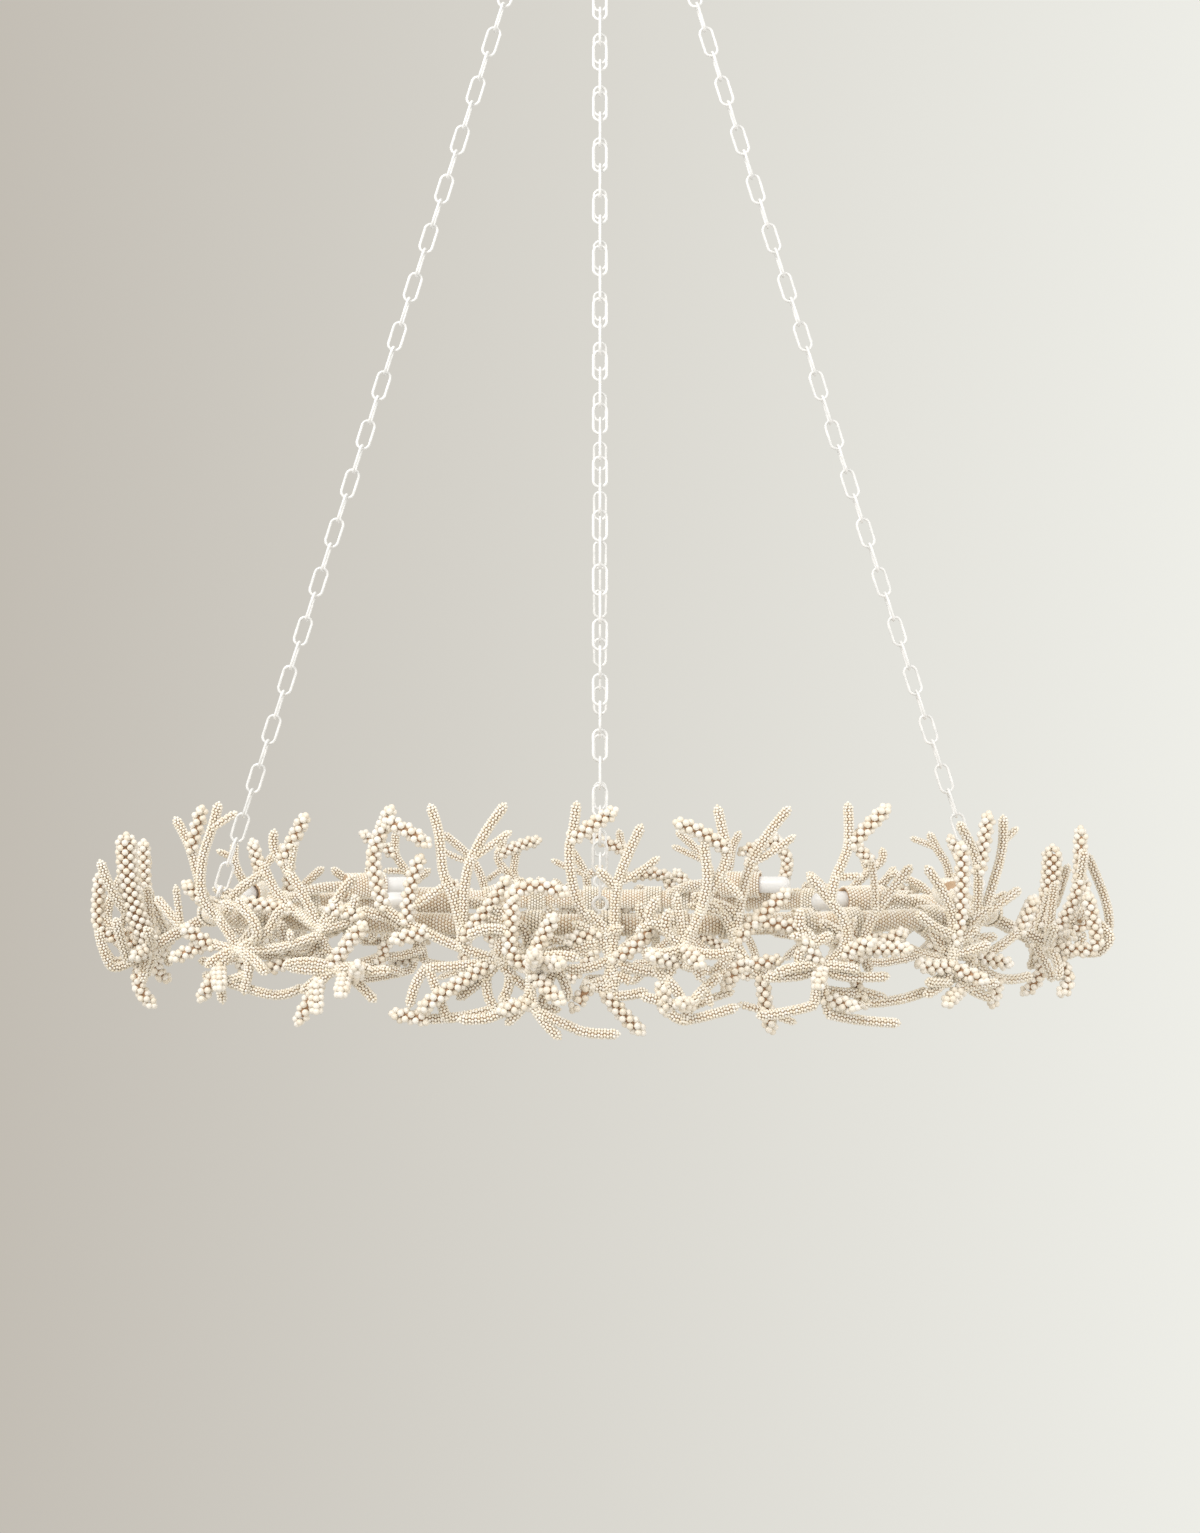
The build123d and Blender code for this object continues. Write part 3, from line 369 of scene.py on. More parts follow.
def wind_beads(bm, wound):
    """Winds several branches at once: each is a route, a winding, and its beads' and core's looks."""
    routes = []
    for points, style, bead_look, core_look in wound:
        curve = bpy.data.curves.new("route", "CURVE")
        curve.dimensions = "3D"
        curve.resolution_u = 5
        line = curve.splines.new("NURBS")
        line.points.add(len(points) - 1)
        for point, spot in zip(line.points, points):
            point.co = (*spot, 1)
        line.order_u = min(3, len(points))
        line.use_endpoint_u = True
        length = line.calc_length()
        wound_length = length + style["over"]
        pairs = max(1, round(wound_length / (2 * style["pitch"])))
        curve.bevel_depth = style["core"]
        curve.bevel_resolution = 1
        curve.use_fill_caps = True
        curve.bevel_factor_mapping_end = "SPLINE"
        curve.bevel_factor_end = (wound_length - style["pitch"]) / length
        route = place_object("route", curve)
        row = place_object("row", style["hoops"])
        rows = row.modifiers.new("rows", "ARRAY")
        rows.use_relative_offset = False
        rows.use_constant_offset = True
        rows.constant_offset_displace = (wound_length / pairs, 0, 0)
        rows.count = pairs
        rows.end_cap = style["tip"]
        bend = row.modifiers.new("bend", "CURVE")
        bend.object = route
        routes.append((route, row, bead_look, core_look))
    graph = bpy.context.evaluated_depsgraph_get()
    for route, row, bead_look, core_look in routes:
        for source, look in ((row, bead_look), (route, core_look)):
            mesh = bpy.data.meshes.new_from_object(source.evaluated_get(graph))
            add_mesh(bm, mesh, look)
            bpy.data.meshes.remove(mesh)
    for route, row, *_ in routes:
        bpy.data.objects.remove(row)
        bpy.data.curves.remove(route.data)


arm_winding = winding(ARM_RADIUS, seed_bead, SEED_BEAD, ARM_HOOP_BEADS, SEED_PITCH, ARM_RADIUS / 2,
                      ARM_TIP_BEADS)
arms = bmesh.new()
arm_routes = []
for turn in lamp_turns:
    middle = Vector(turn["pos_m"])
    pointing = Vector(turn["axis"]).normalized()
    flat = pointing.cross(Vector((0, 0, 1)))
    facing = degrees(atan2(flat.x, -flat.y))
    here, _, along = ring_frame_at(facing)
    if (here - middle).length > LAMP_NEAR_RING:
        facing += 180
        here, _, along = ring_frame_at(facing)
    way = 1 if along.dot(pointing) > 0 else -1
    root, root_out, root_along = ring_frame_at(facing_past(facing, -way * ARM_REACH))
    rise = (Vector((0, 0, LAMP_UP)) - root_out * LAMP_INWARD).normalized()
    seat = middle - pointing * (SLEEVE_LENGTH / 2)
    shoulder = root + rise * (WRAP_RADIUS + ARM_RADIUS) + root_along * (way * 2 * ARM_RADIUS)
    arm_routes.append(([root, shoulder, seat - pointing * ARM_STRAIGHT, seat], arm_winding, 0, 1))
wind_beads(arms, arm_routes)
make_piece("arm_beads", arms, [seed_paint, cloth_and_painted_shade], "chandelier", "beads", "lamp_arms")

# Sleeves: cups round the sockets at the arms' ends, covered in the ring's tan cloth, whose brown is partly
# painted shade, and wound with close hoops of seed beads. The cup's lip stays bare.
SLEEVE_RADIUS = 17.5 * MM
SLEEVE_BORE = 13.5 * MM
SLEEVE_FLOOR = 4 * MM
SLEEVE_HOOPS = 14
SLEEVE_HOOP_BEADS = 25
CUP_STEPS = 24
cup = bmesh.new()
wall = SLEEVE_RADIUS - CLOTH_SINK
back, front, floor = -SLEEVE_LENGTH / 2, SLEEVE_LENGTH / 2, SLEEVE_FLOOR - SLEEVE_LENGTH / 2
section = [(back, 0), (back, wall), (front, wall), (front, SLEEVE_BORE), (floor, SLEEVE_BORE), (floor, 0)]
corners = [cup.verts.new((x, 0, radius)) for x, radius in section]
rim = [cup.edges.new(ends) for ends in zip(corners, corners[1:])]
full_spin(cup, corners + rim, (1, 0, 0), CUP_STEPS)
cup_mesh = to_mesh("cup", cup)
sleeve_pitch = SLEEVE_LENGTH / SLEEVE_HOOPS
sleeve_hoops = hoop_pair(seed_bead, SLEEVE_RADIUS - SEED_BEAD, SLEEVE_HOOP_BEADS, sleeve_pitch)
sleeves = bmesh.new()
for turn in lamp_turns:
    pointing = Vector(turn["axis"]).normalized()
    stand = Matrix.Translation(turn["pos_m"]) @ pointing.to_track_quat("X", "Z").to_matrix().to_4x4()
    add_mesh(sleeves, cup_mesh, 1, stand)
    for pair in range(SLEEVE_HOOPS // 2):
        offset = Matrix.Translation((back + SEED_BEAD + 2 * pair * sleeve_pitch, 0, 0))
        add_mesh(sleeves, sleeve_hoops, 0, stand @ offset)
make_piece("sleeve_beads", sleeves, [seed_paint, cloth_and_painted_shade], "chandelier", "beads", "lamp_sleeves")

# Sockets and bulbs: glazed sockets inside the sleeves, and frosted tube bulbs that screw into
# them. The glass is milky and a little cloudy.
socket_glaze = clouded_finish("socket_glaze", (0.78, 0.77, 0.74), (0.84, 0.83, 0.80), 50.0, 0.3)
dress(socket_glaze, "lamp_sockets")
frosted_glass = clouded_finish("frosted_glass", (0.84, 0.83, 0.81), (0.90, 0.89, 0.87), 30.0, 0.32)
dress(frosted_glass, *[f"bulb_{number}" for number in range(1, 7)])

# Coral sprigs: wire frames clipped to the ring under hoops of seed beads, their branches wound with seed
# beads, and the thick fingers set with round wooden beads in staggered rows over a brown core. The core's
# dark brown is partly its own colour and partly painted shade for the gaps between the round beads.

# Each sprig: the way it faces round the ring, in degrees from -Y towards +X, then its branches, as
# points along the ring, out from it and up, in millimetres from the tube's centre.
SPRIGS = {
    "01": (-28.4, [
        ("stem", [(0, 11, -6), (0, 46, -32)]),
        ("seed", [(0, 46, -32), (-28, 46, 2), (-52, 47, 29), (-64, 48, 71), (-72, 50, 93), (-87, 52, 116)]),
        ("finger", [(-66, 49, 80), (-47, 54, 128)]),
        ("seed", [(-28, 46, 2), (-46, 58, 16), (-42, 62, 71), (-22, 64, 109), (-15, 64, 134)]),
        ("twig", [(-22, 64, 107), (11, 66, 124)]),
        ("finger", [(-44, 48, 20), (-67, 60, 42)]),
        ("seed", [(0, 46, -32), (-53, 44, -29), (-95, 40, -6), (-128, 36, 22)]),
        ("twig", [(-88, 41, -10), (-90, 48, 38)]),
        ("finger", [(-40, 44, -30), (-66, 64, -8)]),
        ("seed", [(0, 46, -32), (-25, 50, -46), (-22, 54, -68), (-17, 54, -92)]),
        ("finger", [(-24, 52, -56), (-46, 58, -90)]),
        ("seed", [(-22, 54, -66), (22, 46, -79), (58, 34, -84), (78, 30, -72)]),
        ("finger", [(-24, 52, -55), (2, 84, -72)]),
        ("seed", [(0, 46, -32), (26, 52, -38), (46, 58, -56)]),
        ("finger", [(-53, 44, -29), (-80, 66, -44)]),
    ]),
    "02": (-21.4, [
        ("stem", [(0, 11, -4), (4, 28, -8)]),
        ("seed", [(4, 28, -8), (-8, 27, 16), (-25, 28, 43), (-42, 29, 66), (-57, 30, 84), (-52, 32, 103)]),
        ("seed", [(4, 28, -8), (-30, 26, 11), (-53, 26, 32), (-66, 27, 56), (-70, 28, 66)]),
        ("seed", [(-66, 27, 56), (-98, 23, 40), (-114, 22, 25), (-122, 22, 5)]),
        ("finger", [(-44, 29, 68), (-10, 36, 120)]),
        ("twig", [(-34, 29, 54), (-24, 34, 92)]),
        ("finger", [(-36, 27, 14), (-94, 36, 22)]),
        ("seed", [(4, 28, -8), (-2, 28, -38), (-28, 28, -42), (-42, 28, -24), (-46, 27, 0)]),
        ("seed", [(-2, 28, -38), (22, 30, -58)]),
        ("seed", [(4, 28, -8), (26, 27, 33), (46, 24, 52)]),
        ("finger", [(18, 28, 18), (58, 32, 10)]),
        ("finger", [(-28, 28, -42), (-62, 32, -54)]),
    ]),
    "03": (-19.1, [
        ("stem", [(0, 10, -9), (0, 50, -48)]),
        ("finger", [(-4, 50, -42), (38, 58, 2)]),
        ("seed", [(0, 50, -48), (-22, 54, -66)]),
        ("finger", [(-18, 53, -62), (-43, 58, -110)]),
        ("seed", [(0, 50, -48), (24, 50, -58), (49, 54, -82)]),
        ("seed", [(0, 50, -48), (30, 56, -54), (68, 58, -47)]),
        ("finger", [(12, 50, -56), (26, 92, -72)]),
        ("finger", [(24, 50, -58), (44, 86, -40)]),
        ("seed", [(0, 50, -48), (-30, 58, -36), (-58, 60, -46)]),
        ("finger", [(-22, 54, -66), (-6, 86, -92)]),
    ]),
    "04": (-7.3, [
        ("stem", [(0, 10, -9), (0, 28, -38)]),
        ("seed", [(0, 28, -38), (-52, 27, -22), (-85, 27, -6), (-113, 27, 6), (-134, 29, 24)]),
        ("finger", [(-130, 28, 20), (-143, 36, 66), (-133, 40, 99), (-118, 42, 130)]),
        ("finger", [(-124, 41, 114), (-106, 44, 112), (-76, 44, 90)]),
        ("finger", [(-104, 27, 4), (-100, 31, 52), (-86, 36, 76)]),
        ("seed", [(-42, 28, -6), (-48, 31, 28), (-62, 33, 56), (-64, 34, 84), (-67, 34, 111),
                  (-76, 34, 133)]),
        ("twig", [(-58, 32, 46), (-94, 36, 22)]),
        ("seed", [(-44, 27, -25), (-40, 28, 4), (-38, 30, 56), (-26, 32, 84), (-10, 34, 111), (8, 36, 134)]),
        ("twig", [(-30, 31, 74), (14, 36, 104)]),
        ("finger", [(-40, 28, -12), (-3, 35, 25), (11, 39, 53)]),
        ("finger", [(-84, 27, -8), (-114, 52, -14)]),
        ("seed", [(0, 28, -38), (-50, 32, -46), (-80, 34, -46)]),
        ("seed", [(-78, 34, -46), (-68, 34, -72), (-57, 34, -104)]),
        ("seed", [(-80, 34, -46), (-95, 36, -62), (-98, 38, -88)]),
        ("finger", [(-10, 28, -42), (-52, 44, -66), (-84, 46, -90)]),
        ("seed", [(0, 28, -38), (-14, 27, -58), (-46, 26, -80)]),
        ("seed", [(-14, 27, -58), (-16, 28, -78), (-2, 28, -94)]),
        ("seed", [(-5, 28, -91), (-41, 30, -103), (-84, 32, -103)]),
        ("finger", [(-80, 32, -103), (-118, 36, -97)]),
    ]),
    "05": (-4.8, [
        ("stem", [(0, 10, -9), (0, 52, -44)]),
        ("finger", [(-2, 52, -42), (-22, 55, -34), (-23, 58, -4), (-18, 58, 44)]),
        ("finger", [(-20, 58, 34), (-2, 60, 57), (39, 60, 38)]),
        ("finger", [(-2, 52, -38), (26, 60, 14)]),
        ("finger", [(2, 52, -42), (10, 98, -24)]),
        ("finger", [(6, 54, -40), (38, 86, -34)]),
        ("seed", [(0, 52, -44), (-2, 54, -68), (9, 58, -98), (32, 58, -118)]),
        ("seed", [(6, 57, -90), (39, 60, -103), (62, 60, -114), (96, 60, -113)]),
        ("finger", [(0, 52, -44), (20, 78, -66), (38, 84, -76)]),
        ("finger", [(2, 55, -80), (-32, 66, -88)]),
        ("seed", [(-23, 58, -4), (-46, 64, 6), (-66, 66, -8)]),
    ]),
    "06": (0.8, [
        ("stem", [(0, 10, -9), (0, 28, -34)]),
        ("seed", [(0, 28, -34), (-15, 27, -6), (-34, 27, 20), (-43, 28, 46), (-47, 30, 86),
                  (-41, 32, 106), (-38, 34, 136)]),
        ("finger", [(-43, 31, 97), (4, 38, 128)]),
        ("seed", [(0, 28, -34), (4, 27, -8), (5, 28, 44), (16, 30, 75), (33, 32, 111)]),
        ("twig", [(6, 28, 48), (26, 30, 54), (52, 32, 76)]),
        ("finger", [(2, 28, -34), (28, 34, -28), (47, 36, 6)]),
        ("seed", [(0, 28, -34), (24, 30, -52), (62, 32, -49)]),
        ("seed", [(0, 28, -34), (-6, 30, -76)]),
        ("seed", [(-6, 30, -74), (14, 32, -78), (38, 34, -70)]),
        ("seed", [(-4, 29, -58), (-30, 32, -66)]),
        ("finger", [(-6, 30, -72), (6, 32, -92), (34, 36, -115)]),
        ("finger", [(-24, 31, -64), (-42, 36, -90)]),
        ("finger", [(-15, 27, -6), (-50, 32, -16)]),
        ("seed", [(5, 28, 44), (-14, 34, 62)]),
    ]),
    "07": (5.8, [
        ("stem", [(0, 11, -4), (0, 52, -20)]),
        ("seed", [(0, 52, -20), (11, 52, -1), (23, 52, 29), (36, 53, 51), (50, 54, 78),
                  (42, 55, 108), (37, 55, 132)]),
        ("seed", [(18, 52, 16), (26, 57, 43), (25, 59, 69), (21, 60, 94)]),
        ("finger", [(45, 54, 88), (21, 60, 105), (-9, 62, 115)]),
        ("twig", [(40, 53, 58), (64, 55, 32)]),
        ("twig", [(0, 52, -18), (-8, 58, 38)]),
        ("seed", [(0, 52, -20), (-14, 54, -44), (-26, 56, -66)]),
        ("finger", [(-24, 56, -60), (-20, 58, -92)]),
        ("seed", [(-21, 57, -84), (-10, 58, -101), (16, 58, -98), (58, 58, -86)]),
        ("seed", [(0, 58, -101), (8, 58, -72), (40, 56, -52)]),
        ("twig", [(22, 57, -62), (30, 58, -84)]),
        ("finger", [(2, 52, -24), (14, 92, -36)]),
        ("finger", [(-10, 53, -37), (-40, 68, -28)]),
        ("seed", [(1, 52, -21), (28, 62, -34), (52, 64, -24)]),
        ("finger", [(5, 58, -83), (-10, 86, -78)]),
    ]),
    "08": (9.8, [
        ("stem", [(0, 11, -2), (0, 28, -16)]),
        ("seed", [(0, 28, -16), (4, 27, 12), (13, 28, 57), (25, 30, 84), (42, 32, 109), (60, 34, 130)]),
        ("twig", [(19, 29, 70), (38, 32, 77), (66, 34, 99)]),
        ("finger", [(2, 28, -14), (58, 36, 38)]),
        ("finger", [(22, 31, 6), (76, 36, -4)]),
        ("seed", [(0, 28, -16), (12, 30, -44), (34, 32, -62)]),
        ("finger", [(30, 32, -58), (34, 34, -98), (41, 34, -116)]),
        ("twig", [(34, 34, -94), (4, 32, -86)]),
        ("twig", [(36, 34, -96), (66, 38, -107)]),
        ("finger", [(9, 30, -37), (-14, 36, -68)]),
        ("seed", [(4, 27, 12), (-22, 28, 30), (-42, 30, 26)]),
        ("finger", [(12, 30, -44), (50, 34, -38)]),
    ]),
    "09": (15.6, [
        ("stem", [(0, 10, -9), (0, 52, -44)]),
        ("seed", [(0, 52, -44), (30, 53, -30), (33, 55, 0), (11, 57, 29), (-14, 57, 56)]),
        ("seed", [(12, 57, 28), (14, 58, 50), (26, 58, 71), (34, 59, 93), (31, 59, 135)]),
        ("finger", [(34, 59, 90), (76, 64, 131)]),
        ("twig", [(16, 58, 54), (46, 62, 55)]),
        ("seed", [(0, 52, -44), (14, 52, -54), (44, 54, -58), (80, 56, -57)]),
        ("seed", [(0, 52, -44), (4, 54, -70), (10, 56, -99)]),
        ("seed", [(10, 56, -97), (44, 58, -106), (92, 58, -109)]),
        ("finger", [(2, 52, -48), (-16, 88, -62)]),
        ("finger", [(0, 52, -44), (-22, 60, -12)]),
        ("finger", [(6, 55, -80), (34, 76, -88)]),
        ("seed", [(0, 52, -44), (-28, 60, -40), (-54, 60, -50)]),
        ("finger", [(30, 53, -30), (54, 76, -16)]),
    ]),
    "10": (19.5, [
        ("stem", [(0, 10, -9), (0, 28, -30)]),
        ("seed", [(0, 28, -30), (7, 27, -8), (24, 27, 18), (40, 28, 38), (62, 30, 63)]),
        ("twig", [(19, 27, 10), (18, 30, 49), (11, 32, 72)]),
        ("finger", [(2, 28, -30), (40, 70, -26)]),
        ("finger", [(2, 28, -34), (52, 36, -10)]),
        ("seed", [(0, 28, -30), (-14, 30, -60)]),
        ("finger", [(-12, 30, -54), (2, 36, -92)]),
        ("seed", [(1, 36, -88), (42, 38, -90), (78, 38, -77)]),
        ("finger", [(-4, 28, -38), (-40, 32, -52)]),
        ("seed", [(1, 36, -88), (-34, 36, -98)]),
        ("finger", [(0, 28, -30), (-28, 32, -14)]),
    ]),
    "11": (26.4, [
        ("stem", [(0, 10, -9), (0, 50, -46)]),
        ("seed", [(0, 50, -46), (0, 52, -14), (-2, 53, 9), (-16, 54, 38), (-38, 54, 63)]),
        ("finger", [(0, 52, -22), (12, 58, 8), (4, 62, 88)]),
        ("finger", [(0, 50, -48), (-22, 54, -54), (-52, 58, -44)]),
        ("seed", [(0, 50, -46), (8, 52, -78), (52, 56, -88)]),
        ("seed", [(7, 52, -74), (54, 62, -70)]),
        ("finger", [(2, 50, -52), (20, 86, -64)]),
        ("seed", [(0, 52, -14), (-30, 58, -8), (-54, 60, 12)]),
        ("finger", [(8, 52, -78), (-20, 66, -90)]),
    ]),
    "12": (38.7, [
        ("stem", [(0, 10, -9), (0, 28, -40)]),
        ("seed", [(0, 28, -40), (8, 27, -2), (10, 28, 31), (7, 30, 62), (-6, 32, 86), (-30, 34, 111)]),
        ("finger", [(8, 30, 54), (16, 38, 121)]),
        ("seed", [(6, 27, -10), (18, 30, 6), (28, 32, 35), (40, 34, 65), (45, 36, 92), (41, 38, 118)]),
        ("twig", [(45, 36, 90), (66, 38, 104)]),
        ("seed", [(17, 30, 4), (43, 34, 18), (72, 36, 32)]),
        ("seed", [(0, 28, -40), (6, 30, -58), (54, 34, -76), (92, 36, -70)]),
        ("seed", [(0, 28, -40), (16, 30, -44), (54, 34, -28), (76, 36, -14)]),
        ("finger", [(72, 36, -17), (92, 42, 22)]),
        ("finger", [(2, 28, -44), (40, 50, -52)]),
        ("finger", [(38, 33, -70), (22, 38, -100)]),
        ("seed", [(8, 27, -2), (-22, 28, 16), (-46, 30, 10)]),
    ]),
    "left": (-78, [
        ("stem", [(0, 10, -9), (0, 70, -40)]),
        ("club", [(0, 70, -38), (4, 100, 0), (6, 100, 92)]),
        ("finger", [(0, 72, -40), (-20, 126, -30), (-20, 136, -6), (-18, 130, 48)]),
        ("seed", [(4, 102, 4), (22, 118, 26), (26, 130, 64)]),
        ("seed", [(0, 70, -40), (14, 112, -72), (22, 126, -46), (22, 132, -18)]),
        ("finger", [(0, 70, -44), (6, 104, -80), (22, 68, -108)]),
        ("seed", [(8, 98, -60), (36, 112, -4)]),
        ("finger", [(2, 72, -42), (36, 92, -49)]),
        ("seed", [(0, 70, -38), (-33, 72, -14), (-40, 76, 30)]),
        ("finger", [(-31, 72, -16), (-49, 104, -34)]),
        ("seed", [(0, 70, -40), (-18, 84, -70), (-38, 80, -86)]),
    ]),
    "right": (78, [
        ("stem", [(0, 10, -9), (0, 70, -36)]),
        ("finger", [(0, 70, -34), (-10, 104, 12), (-12, 108, 60), (-12, 108, 102)]),
        ("seed", [(0, 70, -36), (12, 124, -56), (20, 142, -24), (20, 142, 2), (18, 130, 38), (14, 116, 70)]),
        ("finger", [(0, 72, -38), (-20, 130, -50), (-22, 124, -9), (-22, 116, 24)]),
        ("finger", [(0, 70, -40), (-10, 108, -80), (-34, 84, -92)]),
        ("finger", [(0, 70, -34), (34, 92, -30)]),
        ("seed", [(0, 70, -34), (32, 72, -8), (44, 78, 34)]),
        ("seed", [(-12, 107, 40), (-34, 112, 76)]),
        ("seed", [(0, 70, -36), (22, 86, -66), (42, 82, -82)]),
    ]),
}
BACK_RISE = 0.66
END_BACK_RISE = 0.8
TANGLE_REACH = 0.8
TANGLE_RISE = 0.35
TANGLE_DROP = 0.8
ROUND_BEAD = 4.1 * MM
ROUND_PITCH = 5.8 * MM
STRAND_BEAD = 1.9 * MM
STRAND_PITCH = 3.3 * MM
STRAND_STAGGER = 0.6
LASHING_RADIUS = 17.4 * MM
LASHING_BEADS = 25
LASHING_PAIRS = (-1.25, -0.25, 0.75)
THICK = ("finger", "club")
round_paint = bead_paint("round_paint", [(0.88, 0.79, 0.65), (0.91, 0.84, 0.72), (0.93, 0.87, 0.77),
                                         (0.94, 0.89, 0.81)], 0.34)
# Dark brown core under the round beads: partly its own colour, partly painted shade for the gaps between the
# beads.
core_and_painted_shade = clouded_finish("core_and_painted_shade", (0.36, 0.20, 0.10), (0.50, 0.30, 0.17), 150.0, 0.7)
lashing = hoop_pair(seed_bead, LASHING_RADIUS - SEED_BEAD, LASHING_BEADS, SEED_PITCH)
coral_looks = [seed_paint, round_paint, cloth_and_painted_shade, core_and_painted_shade]
SEED_LOOK, ROUND_LOOK, CLOTH_AND_SHADE_LOOK, CORE_AND_SHADE_LOOK = range(len(coral_looks))


def large_bead(radius):
    """A turned wooden bead: a block cut finer and rounded to a ball."""
    bm = bmesh.new()
    bmesh.ops.create_cube(bm, size=2 * radius)
    bmesh.ops.subdivide_edges(bm, edges=bm.edges[:], cuts=1, use_grid_fill=True)
    for vert in bm.verts:
        vert.co = vert.co.normalized() * radius
    return to_mesh("large_bead", bm)


round_bead = large_bead(ROUND_BEAD)
strand_bead = small_bead(STRAND_BEAD)
windings = {
    "stem": winding(8.0 * MM, strand_bead, STRAND_BEAD, 9, STRAND_PITCH, 3.6 * MM, 6, STRAND_STAGGER),
    "seed": winding(6.4 * MM, strand_bead, STRAND_BEAD, 7, STRAND_PITCH, 2.9 * MM, 5, STRAND_STAGGER),
    "twig": winding(5.1 * MM, strand_bead, STRAND_BEAD, 5, STRAND_PITCH, 2.0 * MM, 4, STRAND_STAGGER),
    "finger": winding(10.0 * MM, round_bead, ROUND_BEAD, 3, ROUND_PITCH, 4.4 * MM, 3),
    "club": winding(14.0 * MM, round_bead, ROUND_BEAD, 5, ROUND_PITCH, 6.4 * MM, 4),
}


def second_laying(branches):
    """The sprig's thin branches once more, low and the other way along the ring, as the tangle below."""
    (_, (_, (foot_a, _, foot_u))), *rest = branches
    for finish, points in rest:
        if finish in THICK:
            continue
        yield finish, [(foot_a - TANGLE_REACH * (a - foot_a), o,
                        foot_u + (u - foot_u) * (TANGLE_RISE if u > foot_u else TANGLE_DROP))
                       for a, o, u in points]


def coral_piece(node, facing, branches, rise):
    """One sprig's beads, cores and lashing, standing for its CAD node."""
    centre, out, along = ring_frame_at(facing)
    sprig = bmesh.new()
    wound = []
    for finish, points in [*branches, *second_laying(branches)]:
        route = [centre + along * (a * MM) + out * (o * MM) + Vector((0, 0, (u * rise if u > 0 else u) * MM))
                 for a, o, u in points]
        looks = (ROUND_LOOK, CORE_AND_SHADE_LOOK) if finish in THICK else (SEED_LOOK, CLOTH_AND_SHADE_LOOK)
        wound.append((route, windings[finish], *looks))
    wind_beads(sprig, wound)
    turned = Matrix((along, -out, Vector((0, 0, 1)))).transposed().to_4x4()
    for pair in LASHING_PAIRS:
        offset = Matrix.Translation((2 * pair * SEED_PITCH, 0, 0))
        add_mesh(sprig, lashing, SEED_LOOK, Matrix.Translation(centre) @ turned @ offset)
    make_piece(node.replace("coral", "sprig"), sprig, coral_looks, "chandelier", "beads", node)


for design, (facing, branches) in SPRIGS.items():
    far_name = {"left": "right", "right": "left"}.get(design, design)
    far_rise = BACK_RISE if far_name == design else END_BACK_RISE
    coral_piece(f"coral_front_{design}", facing, branches, 1.0)
    coral_piece(f"coral_back_{far_name}", facing + 180, branches, far_rise)
for style in [arm_winding, *windings.values()]:
    bpy.data.objects.remove(style["tip"])

# Room: a pale floor far below, a plain backdrop with painted light that grows paler to the right, a large
# soft light high on the left and a weaker one on the right. The camera stands level, a little above the ring.
CAMERA_AWAY = 2.60
CAMERA_OVER_RING = 0.176
FLOOR_BELOW_RING = 1.6
FLOOR_HALF_WIDTH = 2.2
ROOM_LIGHT = (1.0, 0.98, 0.945)
ROOM_STRENGTH = 0.76
# The backdrop's two colours are painted light: darker on the left and paler on the right, as the light falls
# on a wall.
BACKDROP_LEFT = (0.535, 0.50, 0.445)
BACKDROP_RIGHT = (0.86, 0.86, 0.81)
BACKDROP_REACH = 0.28
floor_paint = clouded_finish("floor_paint", (0.66, 0.645, 0.61), (0.70, 0.685, 0.65), 1.5, 0.9)
floor_bm = bmesh.new()
bmesh.ops.create_grid(floor_bm, x_segments=1, y_segments=1, size=FLOOR_HALF_WIDTH,
                      matrix=Matrix.Translation((0, 0, RING_Z - FLOOR_BELOW_RING)))
floor_mesh = bpy.data.meshes.new("floor")
floor_bm.to_mesh(floor_mesh)
floor_bm.free()
floor_mesh.materials.append(floor_paint)
place_object("floor", floor_mesh)

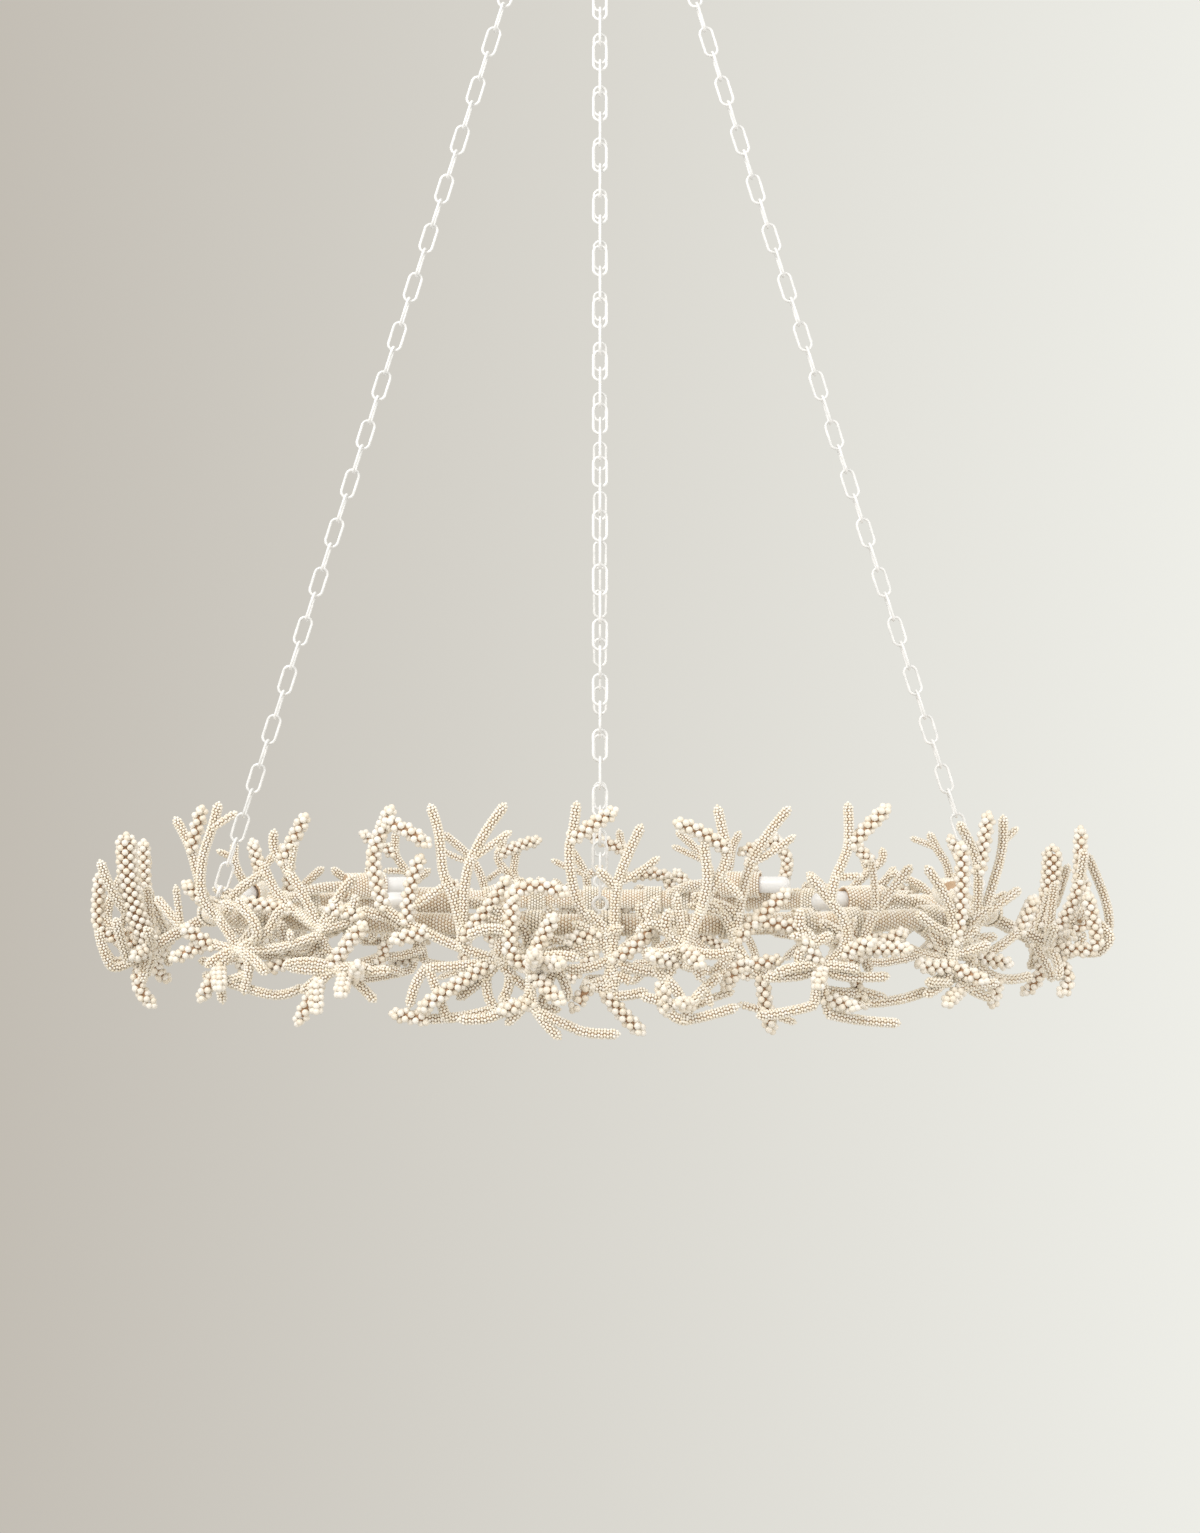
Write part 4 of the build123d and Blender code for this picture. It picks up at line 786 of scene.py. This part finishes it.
scene = bpy.context.scene
scene.view_settings.view_transform = "Standard"
world = bpy.data.worlds.new("studio")
scene.world = world
world.use_nodes = True
sky = world.node_tree
room = sky.nodes["Background"]
room.inputs["Color"].default_value = (*ROOM_LIGHT, 1)
room.inputs["Strength"].default_value = ROOM_STRENGTH
backdrop = sky.nodes.new("ShaderNodeBackground")
ray = sky.nodes.new("ShaderNodeTexCoord")
sideways = sky.nodes.new("ShaderNodeSeparateXYZ")
shade = sky.nodes.new("ShaderNodeValToRGB")
shade.color_ramp.elements[0].position = 0.0
shade.color_ramp.elements[0].color = (*BACKDROP_LEFT, 1)
shade.color_ramp.elements[1].position = 1.0
shade.color_ramp.elements[1].color = (*BACKDROP_RIGHT, 1)
across_view = sky.nodes.new("ShaderNodeMapRange")
across_view.inputs["From Min"].default_value = -BACKDROP_REACH
across_view.inputs["From Max"].default_value = BACKDROP_REACH
sky.links.new(ray.outputs["Generated"], sideways.inputs["Vector"])
sky.links.new(sideways.outputs["X"], across_view.inputs["Value"])
sky.links.new(across_view.outputs["Result"], shade.inputs["Fac"])
sky.links.new(shade.outputs["Color"], backdrop.inputs["Color"])
rays = sky.nodes.new("ShaderNodeLightPath")
pick = sky.nodes.new("ShaderNodeMixShader")
seen = sky.nodes.new("ShaderNodeMath")
seen.operation = "MAXIMUM"
seen_through = sky.nodes.new("ShaderNodeMath")
seen_through.operation = "MAXIMUM"
sky.links.new(rays.outputs["Is Camera Ray"], seen.inputs[0])
sky.links.new(rays.outputs["Is Glossy Ray"], seen.inputs[1])
sky.links.new(seen.outputs["Value"], seen_through.inputs[0])
sky.links.new(rays.outputs["Is Transmission Ray"], seen_through.inputs[1])
sky.links.new(seen_through.outputs["Value"], pick.inputs["Fac"])
sky.links.new(room.outputs["Background"], pick.inputs[1])
sky.links.new(backdrop.outputs["Background"], pick.inputs[2])
sky.links.new(pick.outputs["Shader"], sky.nodes["World Output"].inputs["Surface"])


def soft_light(name, place, target, size, power):
    """A large square lamp aimed at a point."""
    lamp = bpy.data.lights.new(name, "AREA")
    lamp.size = size
    lamp.energy = power
    holder = place_object(name, lamp)
    holder.location = place
    holder.rotation_euler = (Vector(target) - Vector(place)).to_track_quat("-Z", "Y").to_euler()


soft_light("key", (-1.4, -2.0, RING_Z + 2.1), (0, 0, RING_Z), size=1.8, power=58.0)
soft_light("fill", (2.6, -1.8, RING_Z + 0.6), (0, 0, RING_Z), size=2.4, power=22.0)

lens = bpy.data.cameras.new("camera")
lens.lens = 50.0
lens.sensor_fit = "VERTICAL"
lens.sensor_height = 36.0
camera = place_object("camera", lens)
camera.location = (0, -CAMERA_AWAY, RING_Z + CAMERA_OVER_RING)
camera.rotation_euler = (pi / 2, 0, 0)
scene.camera = camera
